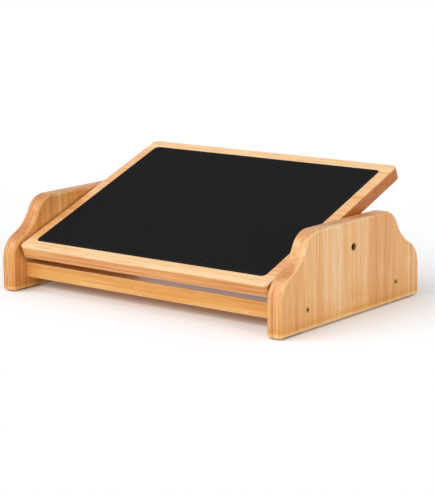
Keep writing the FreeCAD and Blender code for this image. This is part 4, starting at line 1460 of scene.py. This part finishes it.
# %% Fluted dowels
DOWEL_RADIUS = 4.0 * MM
FLUTE_DEPTH = 0.28 * MM
FLUTES = 16
FLUTE_ROUND = 0.7
DOWEL_CHAMFER = 1.0 * MM
dowel_angles = [math.tau * k / 96 for k in range(96)]


def flutes(angle):
    """The dowel's radius, with round grooves cut into it."""
    return DOWEL_RADIUS - FLUTE_DEPTH * max(0.0, math.cos(angle * FLUTES)) ** FLUTE_ROUND


def dowel(node, direction):
    """A dowel that is the same from both ends."""
    low, high = own_box(node, FLOOR_SPACE)
    half = [
        (DOWEL_RADIUS - 0.9 * DOWEL_CHAMFER, 0.0),
        (DOWEL_RADIUS - 0.35 * MM, DOWEL_CHAMFER * 0.7),
        (flutes, DOWEL_CHAMFER * 1.3),
    ]
    length = high.x - low.x
    profile = half + [(radius, length - depth) for radius, depth in reversed(half)]
    skin = fan_ended(turned(dowel_angles, profile))
    new_piece(f"{node}_fluted", node, skin, stand(node, FLOOR_SPACE, direction))


for side, sign in SIDES:
    for end in ENDS:
        for number in (1, 2):
            dowel(f"{end}_{side}_dowel_{number}", (-sign, 0, 0))
print("dowels: 8, flutes each:", FLUTES)

# %% [markdown]
# The pads under the panels are cut from rubber sheet. Only their edge shows, as a thin dark line,
# but the underside is what grips the floor: it has a raised rim and a shallow trough, and its
# outer edge is slightly rounded. A pad is a rounded rectangle, drawn at several insets.

# %% Floor pads
PAD_CORNER = 3.0 * MM
LEAST_PAD_CORNER = 0.3 * MM
pad_shape = [
    (2.6 * MM, 0.35 * MM), (2.2 * MM, 0.35 * MM), (1.9 * MM, 0.0), (0.5 * MM, 0.0),
    (0.12 * MM, 0.12 * MM), (0.0, 0.45 * MM),
]


def floor_pad(node):
    """A rubber pad, from the trough in its underside to its glued upper face."""
    low, high = own_box(node, FLOOR_SPACE)
    middle, half = (low + high) / 2, (high - low) / 2
    rings = []
    for inset, height in [*pad_shape, (0.0, half.z * 2)]:
        corner = max(PAD_CORNER - inset, LEAST_PAD_CORNER)
        rings.append(
            rounded_rectangle(half.x - inset, half.y - inset, corner, height, PAD_STEPS)
        )
    place = Matrix.Translation((middle.x, middle.y, low.z))
    new_piece(f"{node}_rimmed", node, fan_ended(rings), place)


for end in ENDS:
    for side, _ in SIDES:
        floor_pad(f"{end}_{side}_floor_pad")
print("floor pads: 4")

# %% [markdown]
# The mat is the darkest and largest surface, and it isn't smooth: it is moulded with small raised
# diamonds in staggered rows, each about 3.3 mm from tip to tip, and the slanting rows between them
# catch the light as fine lines. A bump map would look flat from the side, so the diamonds are
# geometry: a grid at half their pitch, where every other point is a peak, and each square is split
# along its low corners. Round the rim runs a low rounded border. In the corner squares the grid is
# bent into a quarter circle by a smooth map, so the mat has its round corners and no sliver faces.

# %% The points of the mat
DIAMOND_PITCH = 3.3 * MM
PEAK_HEIGHT = 0.45 * MM
BORDER_DROP = 0.4 * PEAK_HEIGHT
MAT_CORNER = 6.8 * MM
MAT_SHARP = 12.0


def quarter_bend(across, along, half_x, half_y, radius):
    """Bends the corner squares of a rectangle into quarter circles and leaves the rest alone."""
    inner_x, inner_y = half_x - radius, half_y - radius
    over_x, over_y = abs(across) - inner_x, abs(along) - inner_y
    if over_x <= 0 or over_y <= 0:
        return across, along
    bent_x = over_x * math.sqrt(1 - (over_y / radius) ** 2 / 2)
    bent_y = over_y * math.sqrt(1 - (over_x / radius) ** 2 / 2)
    return math.copysign(inner_x + bent_x, across), math.copysign(inner_y + bent_y, along)


def diamond_points(columns, rows, half_x, half_y, thickness):
    """The grid of the mat's upper face."""
    points = []
    for row in range(rows + 1):
        for column in range(columns + 1):
            across = half_x * (2 * column / columns - 1)
            along = half_y * (2 * row / rows - 1)
            rim = min(row, column, rows - row, columns - column)
            height = thickness - PEAK_HEIGHT
            if rim == 1:
                height = thickness - BORDER_DROP
            elif rim > 1 and (row + column) % 2 == 0:
                height = thickness
            bent = quarter_bend(across, along, half_x, half_y, MAT_CORNER)
            points.append(Vector((*bent, height)))
    return points


# %% [markdown]
# Which way a square is split follows from whether its first corner is a peak. A flat underside and
# a wall round the border close the mat, so that it is a solid piece of rubber.

# %% The mat of diamonds
def diamond_mat(name, node):
    """The rubber mat with its raised diamonds, its rim and a flat underside."""
    low, high = own_box(node, PLATFORM_SPACE)
    width, depth = high.x - low.x, high.y - low.y
    columns, rows = 2 * round(width / DIAMOND_PITCH), 2 * round(depth / DIAMOND_PITCH)
    points = diamond_points(columns, rows, width / 2, depth / 2, high.z - low.z)
    stride = columns + 1
    faces = []
    for row in range(rows):
        for column in range(columns):
            a = row * stride + column
            b, c, d = a + 1, a + stride + 1, a + stride
            if (row + column) % 2 == 0:
                faces += [(a, b, d), (b, c, d)]
            else:
                faces += [(a, b, c), (a, c, d)]
    border = list(range(columns))
    border += [row * stride + columns for row in range(rows)]
    border += [rows * stride + column for column in range(columns, 0, -1)]
    border += [row * stride for row in range(rows, 0, -1)]
    first_low = len(points)
    points += [Vector((points[k].x, points[k].y, 0.0)) for k in border]
    for k in range(len(border)):
        n = (k + 1) % len(border)
        faces.append((border[n], border[k], first_low + k, first_low + n))
    faces.append(tuple(range(len(points) - 1, first_low - 1, -1)))
    centre = (low + high) / 2
    place = PLATFORM_SPACE @ Matrix.Translation((centre.x, centre.y, low.z))
    new_piece(name, node, (points, faces), place, MAT_SHARP)
    print(name, "points:", len(points), "diamonds:", columns * rows // 2)


diamond_mat("anti_slip_mat_diamonds", "anti_slip_mat")

# %% [markdown]
# Under the panels and under the middle of the footrest only light from the wood reaches the floor,
# so the white sheet is painted in the wood's colour there, as painted bounce light and shade, and a
# band under the front slat's edge glows brighter to the camera, a painted pool of light that lets
# that colour end soon. Three masks say where. They are worked out from the place on the sheet and
# from the right panel's sides, in metres.

# %% Where the floor gets painted light and shade from the wood
# Painted bounce light and shade: tints of the sheet under the panels and the middle.
PANEL_SHADE = (0.98, 0.70, 0.42, 1.0)
PANEL_SHADE_FADES = 5.0 * MM
PANEL_SHADE_ENDS = 2.0 * MM
MIDDLE_SHADE = (0.84, 0.58, 0.42, 1.0)
MIDDLE_SHADE_FADES = 77.0 * MM
MIDDLE_SHADE_ENDS = 98.0 * MM
# Painted pool of light: extra glow in a band under the front slat's edge.
BAND_LIFT = 0.20
BAND_RISES = (-123.0 * MM, -108.0 * MM)
BAND_FALLS = (-107.0 * MM, -94.0 * MM)


def floor_masks(tree):
    """Masks of the sheet under the panels, under the middle, and under the front slat's edge."""
    low, high = own_box("right_side_panel", FLOOR_SPACE)
    across, along, _ = parts_of(tree, add_node(tree, "TexCoord").outputs["Object"])
    aside, away = sum_up(tree, "ABSOLUTE", across), sum_up(tree, "ABSOLUTE", along)
    off_panel = sum_up(tree, "ABSOLUTE", sum_up(tree, "SUBTRACT", aside, (low.x + high.x) / 2))

    def inside(value, edge):
        return fade(tree, value, edge - PANEL_SHADE_FADES, edge - PANEL_SHADE_ENDS, 1.0, 0.0)

    beside = inside(off_panel, (high.x - low.x) / 2)
    panels = sum_up(tree, "MULTIPLY", beside, inside(away, high.y))
    between = fade(tree, aside, low.x - PANEL_SHADE_FADES, low.x, 1.0, 0.0)
    middle = fade(tree, away, MIDDLE_SHADE_FADES, MIDDLE_SHADE_ENDS, 1.0, 0.0)
    falling = fade(tree, along, *BAND_FALLS, 1.0, 0.0)
    band = sum_up(tree, "MULTIPLY", fade(tree, along, *BAND_RISES), falling)
    return panels, *(sum_up(tree, "MULTIPLY", mask, between) for mask in (middle, band))


# %% [markdown]
# The floor is a plain white sheet. It has to look pure white and still hold the soft shadow under
# the footrest, and the lamps must not be turned up for it. So the camera, and it alone, sees a
# little extra light added to the sheet: bright parts reach white, and shadows stay. That glow is
# a trace warm, and the sheet itself is a trace blue, so that the light thrown back by the wood
# leaves the soft shadows neutral. Seen from below, the sheet lets the camera through, so that the
# underside can be looked at.

# %% The floor
FLOOR_SIZE = 30.0
FLOOR_LIFT = 0.14
FLOOR_GLOW = (1.0, 0.88, 0.80, 1.0)
FLOOR_WHITE = (0.902, 0.940, 0.978, 1.0)


def mix_shaders(tree, share, first, second):
    """One shader or the other, by a share from 0 to 1."""
    node = add_node(tree, "MixShader", Fac=share)
    feed(tree, node.inputs[1], first.outputs[0])
    feed(tree, node.inputs[2], second.outputs[0])
    return node.outputs[0]


def make_floor():
    """A large white sheet at floor level."""
    half = FLOOR_SIZE / 2
    corners = [Vector((half * x, half * y, 0.0)) for x, y in ((-1, -1), (1, -1), (1, 1), (-1, 1))]
    material = bpy.data.materials.new("white_sheet")
    material.use_nodes = True
    tree = material.node_tree
    tree.nodes.clear()
    panels, middle, band = floor_masks(tree)
    shade = blend_colours(tree, panels, WHITE, PANEL_SHADE)
    shade = blend_colours(tree, middle, shade, MIDDLE_SHADE)
    white = blend_colours(tree, 1.0, shade, FLOOR_WHITE, "MULTIPLY")
    glow = blend_colours(tree, 1.0, shade, FLOOR_GLOW, "MULTIPLY")
    seen = add_node(tree, "LightPath").outputs["Is Camera Ray"]
    strength = sum_up(tree, "MULTIPLY_ADD", band, BAND_LIFT, FLOOR_LIFT)
    strength = sum_up(tree, "MULTIPLY", seen, strength)
    lit = add_node(tree, "AddShader")
    feed(tree, lit.inputs[0], add_node(tree, "BsdfDiffuse", Color=white).outputs[0])
    lift = add_node(tree, "Emission", Color=glow, Strength=strength)
    feed(tree, lit.inputs[1], lift.outputs[0])
    behind = add_node(tree, "NewGeometry").outputs["Backfacing"]
    below = sum_up(tree, "MULTIPLY", seen, behind)
    sheet = mix_shaders(tree, below, lit, add_node(tree, "BsdfTransparent"))
    add_node(tree, "OutputMaterial", Surface=sheet)
    floor = mesh_object("floor", (corners, [(0, 1, 2, 3)]), FLOOR_SPACE, material)


make_floor()

# %% [markdown]
# The light is a white room: most of it comes evenly from all round, as in a light tent, and three
# wide lamps give it a direction. The main one stands in front to the left and throws the soft
# shadow behind and to the right. A low one in front lights the floor under the slat, and a low
# one on the right keeps the side panel bright. That last one is left out of reflections, because
# seen from the left it would mirror in the lacquer and turn the board white. The background is
# white to the camera and in reflections, at strength 1, while the light that the room really
# gives is set apart.

# %% Room and lamps
ROOM_LIGHT = 0.56


def make_room():
    """A world that lights softly and looks white."""
    world = bpy.data.worlds.new("white_room")
    world.use_nodes = True
    tree = world.node_tree
    tree.nodes.clear()
    rays = add_node(tree, "LightPath").outputs
    seen = sum_up(tree, "MAXIMUM", rays["Is Camera Ray"], rays["Is Glossy Ray"])
    seen = sum_up(tree, "MAXIMUM", seen, rays["Is Transmission Ray"])
    soft = add_node(tree, "Background", Color=WHITE, Strength=ROOM_LIGHT)
    white = add_node(tree, "Background", Color=WHITE, Strength=1.0)
    add_node(tree, "OutputWorld", Surface=mix_shaders(tree, seen, soft, white))
    bpy.context.scene.world = world


def direction_from(azimuth, height):
    """Where a lamp or camera stands, in degrees. azimuth 0 is in front, 90 on the right."""
    turn, lift = math.radians(azimuth), math.radians(height)
    level = math.cos(lift)
    return Vector((math.sin(turn) * level, -math.cos(turn) * level, math.sin(lift)))


def add_lamp(name, azimuth, height, strength, width):
    """A sun, and how wide it looks in degrees."""
    lamp = bpy.data.lights.new(name, "SUN")
    lamp.energy = strength
    lamp.angle = math.radians(width)
    holder = bpy.data.objects.new(name, lamp)
    holder.rotation_mode = "QUATERNION"
    holder.rotation_quaternion = direction_from(azimuth, height).to_track_quat("Z", "Y")
    bpy.context.scene.collection.objects.link(holder)
    return holder


make_room()
add_lamp("key_front_left", azimuth=-34.0, height=45.0, strength=1.31, width=54.0)
add_lamp("low_front", azimuth=-5.0, height=16.0, strength=0.36, width=30.0)
fill = add_lamp("fill_right", azimuth=80.0, height=10.0, strength=1.14, width=40.0)
fill.visible_glossy = False

# %% [markdown]
# The camera stands where the photographer stood: to the right of the front, a little above the
# footrest, two metres away with a long lens. It aims at a point near the right panel's foot,
# because that is where the middle of the picture falls, and it is rolled by half a degree.

# %% The camera
SENSOR = 36.0
FOCAL_LENGTH = 128.34
CAMERA_AZIMUTH = 38.6648
CAMERA_HEIGHT = 11.4695
CAMERA_ROLL = math.radians(-0.6151)
CAMERA_DISTANCE = 2.0965378
AIM = Vector((0.1399547, -0.1546209, 0.1025674))


def make_camera():
    """The photograph's camera, from its angles, distance and aim."""
    camera = bpy.data.cameras.new("photo_camera")
    camera.sensor_width = SENSOR
    camera.lens = FOCAL_LENGTH
    back = direction_from(CAMERA_AZIMUTH, CAMERA_HEIGHT)
    right = Vector((-back.y, back.x, 0.0)).normalized()
    up = back.cross(right)
    rolled_right = right * math.cos(CAMERA_ROLL) + up * math.sin(CAMERA_ROLL)
    rolled_up = up * math.cos(CAMERA_ROLL) - right * math.sin(CAMERA_ROLL)
    turn = Matrix((rolled_right, rolled_up, back)).transposed().to_4x4()
    holder = bpy.data.objects.new("photo_camera", camera)
    holder.matrix_world = Matrix.Translation(AIM + back * CAMERA_DISTANCE) @ turn
    bpy.context.scene.collection.objects.link(holder)
    bpy.context.scene.camera = holder
    print("camera at", tuple(round(v, 3) for v in holder.matrix_world.translation))


make_camera()
bpy.context.scene.view_settings.view_transform = "Standard"
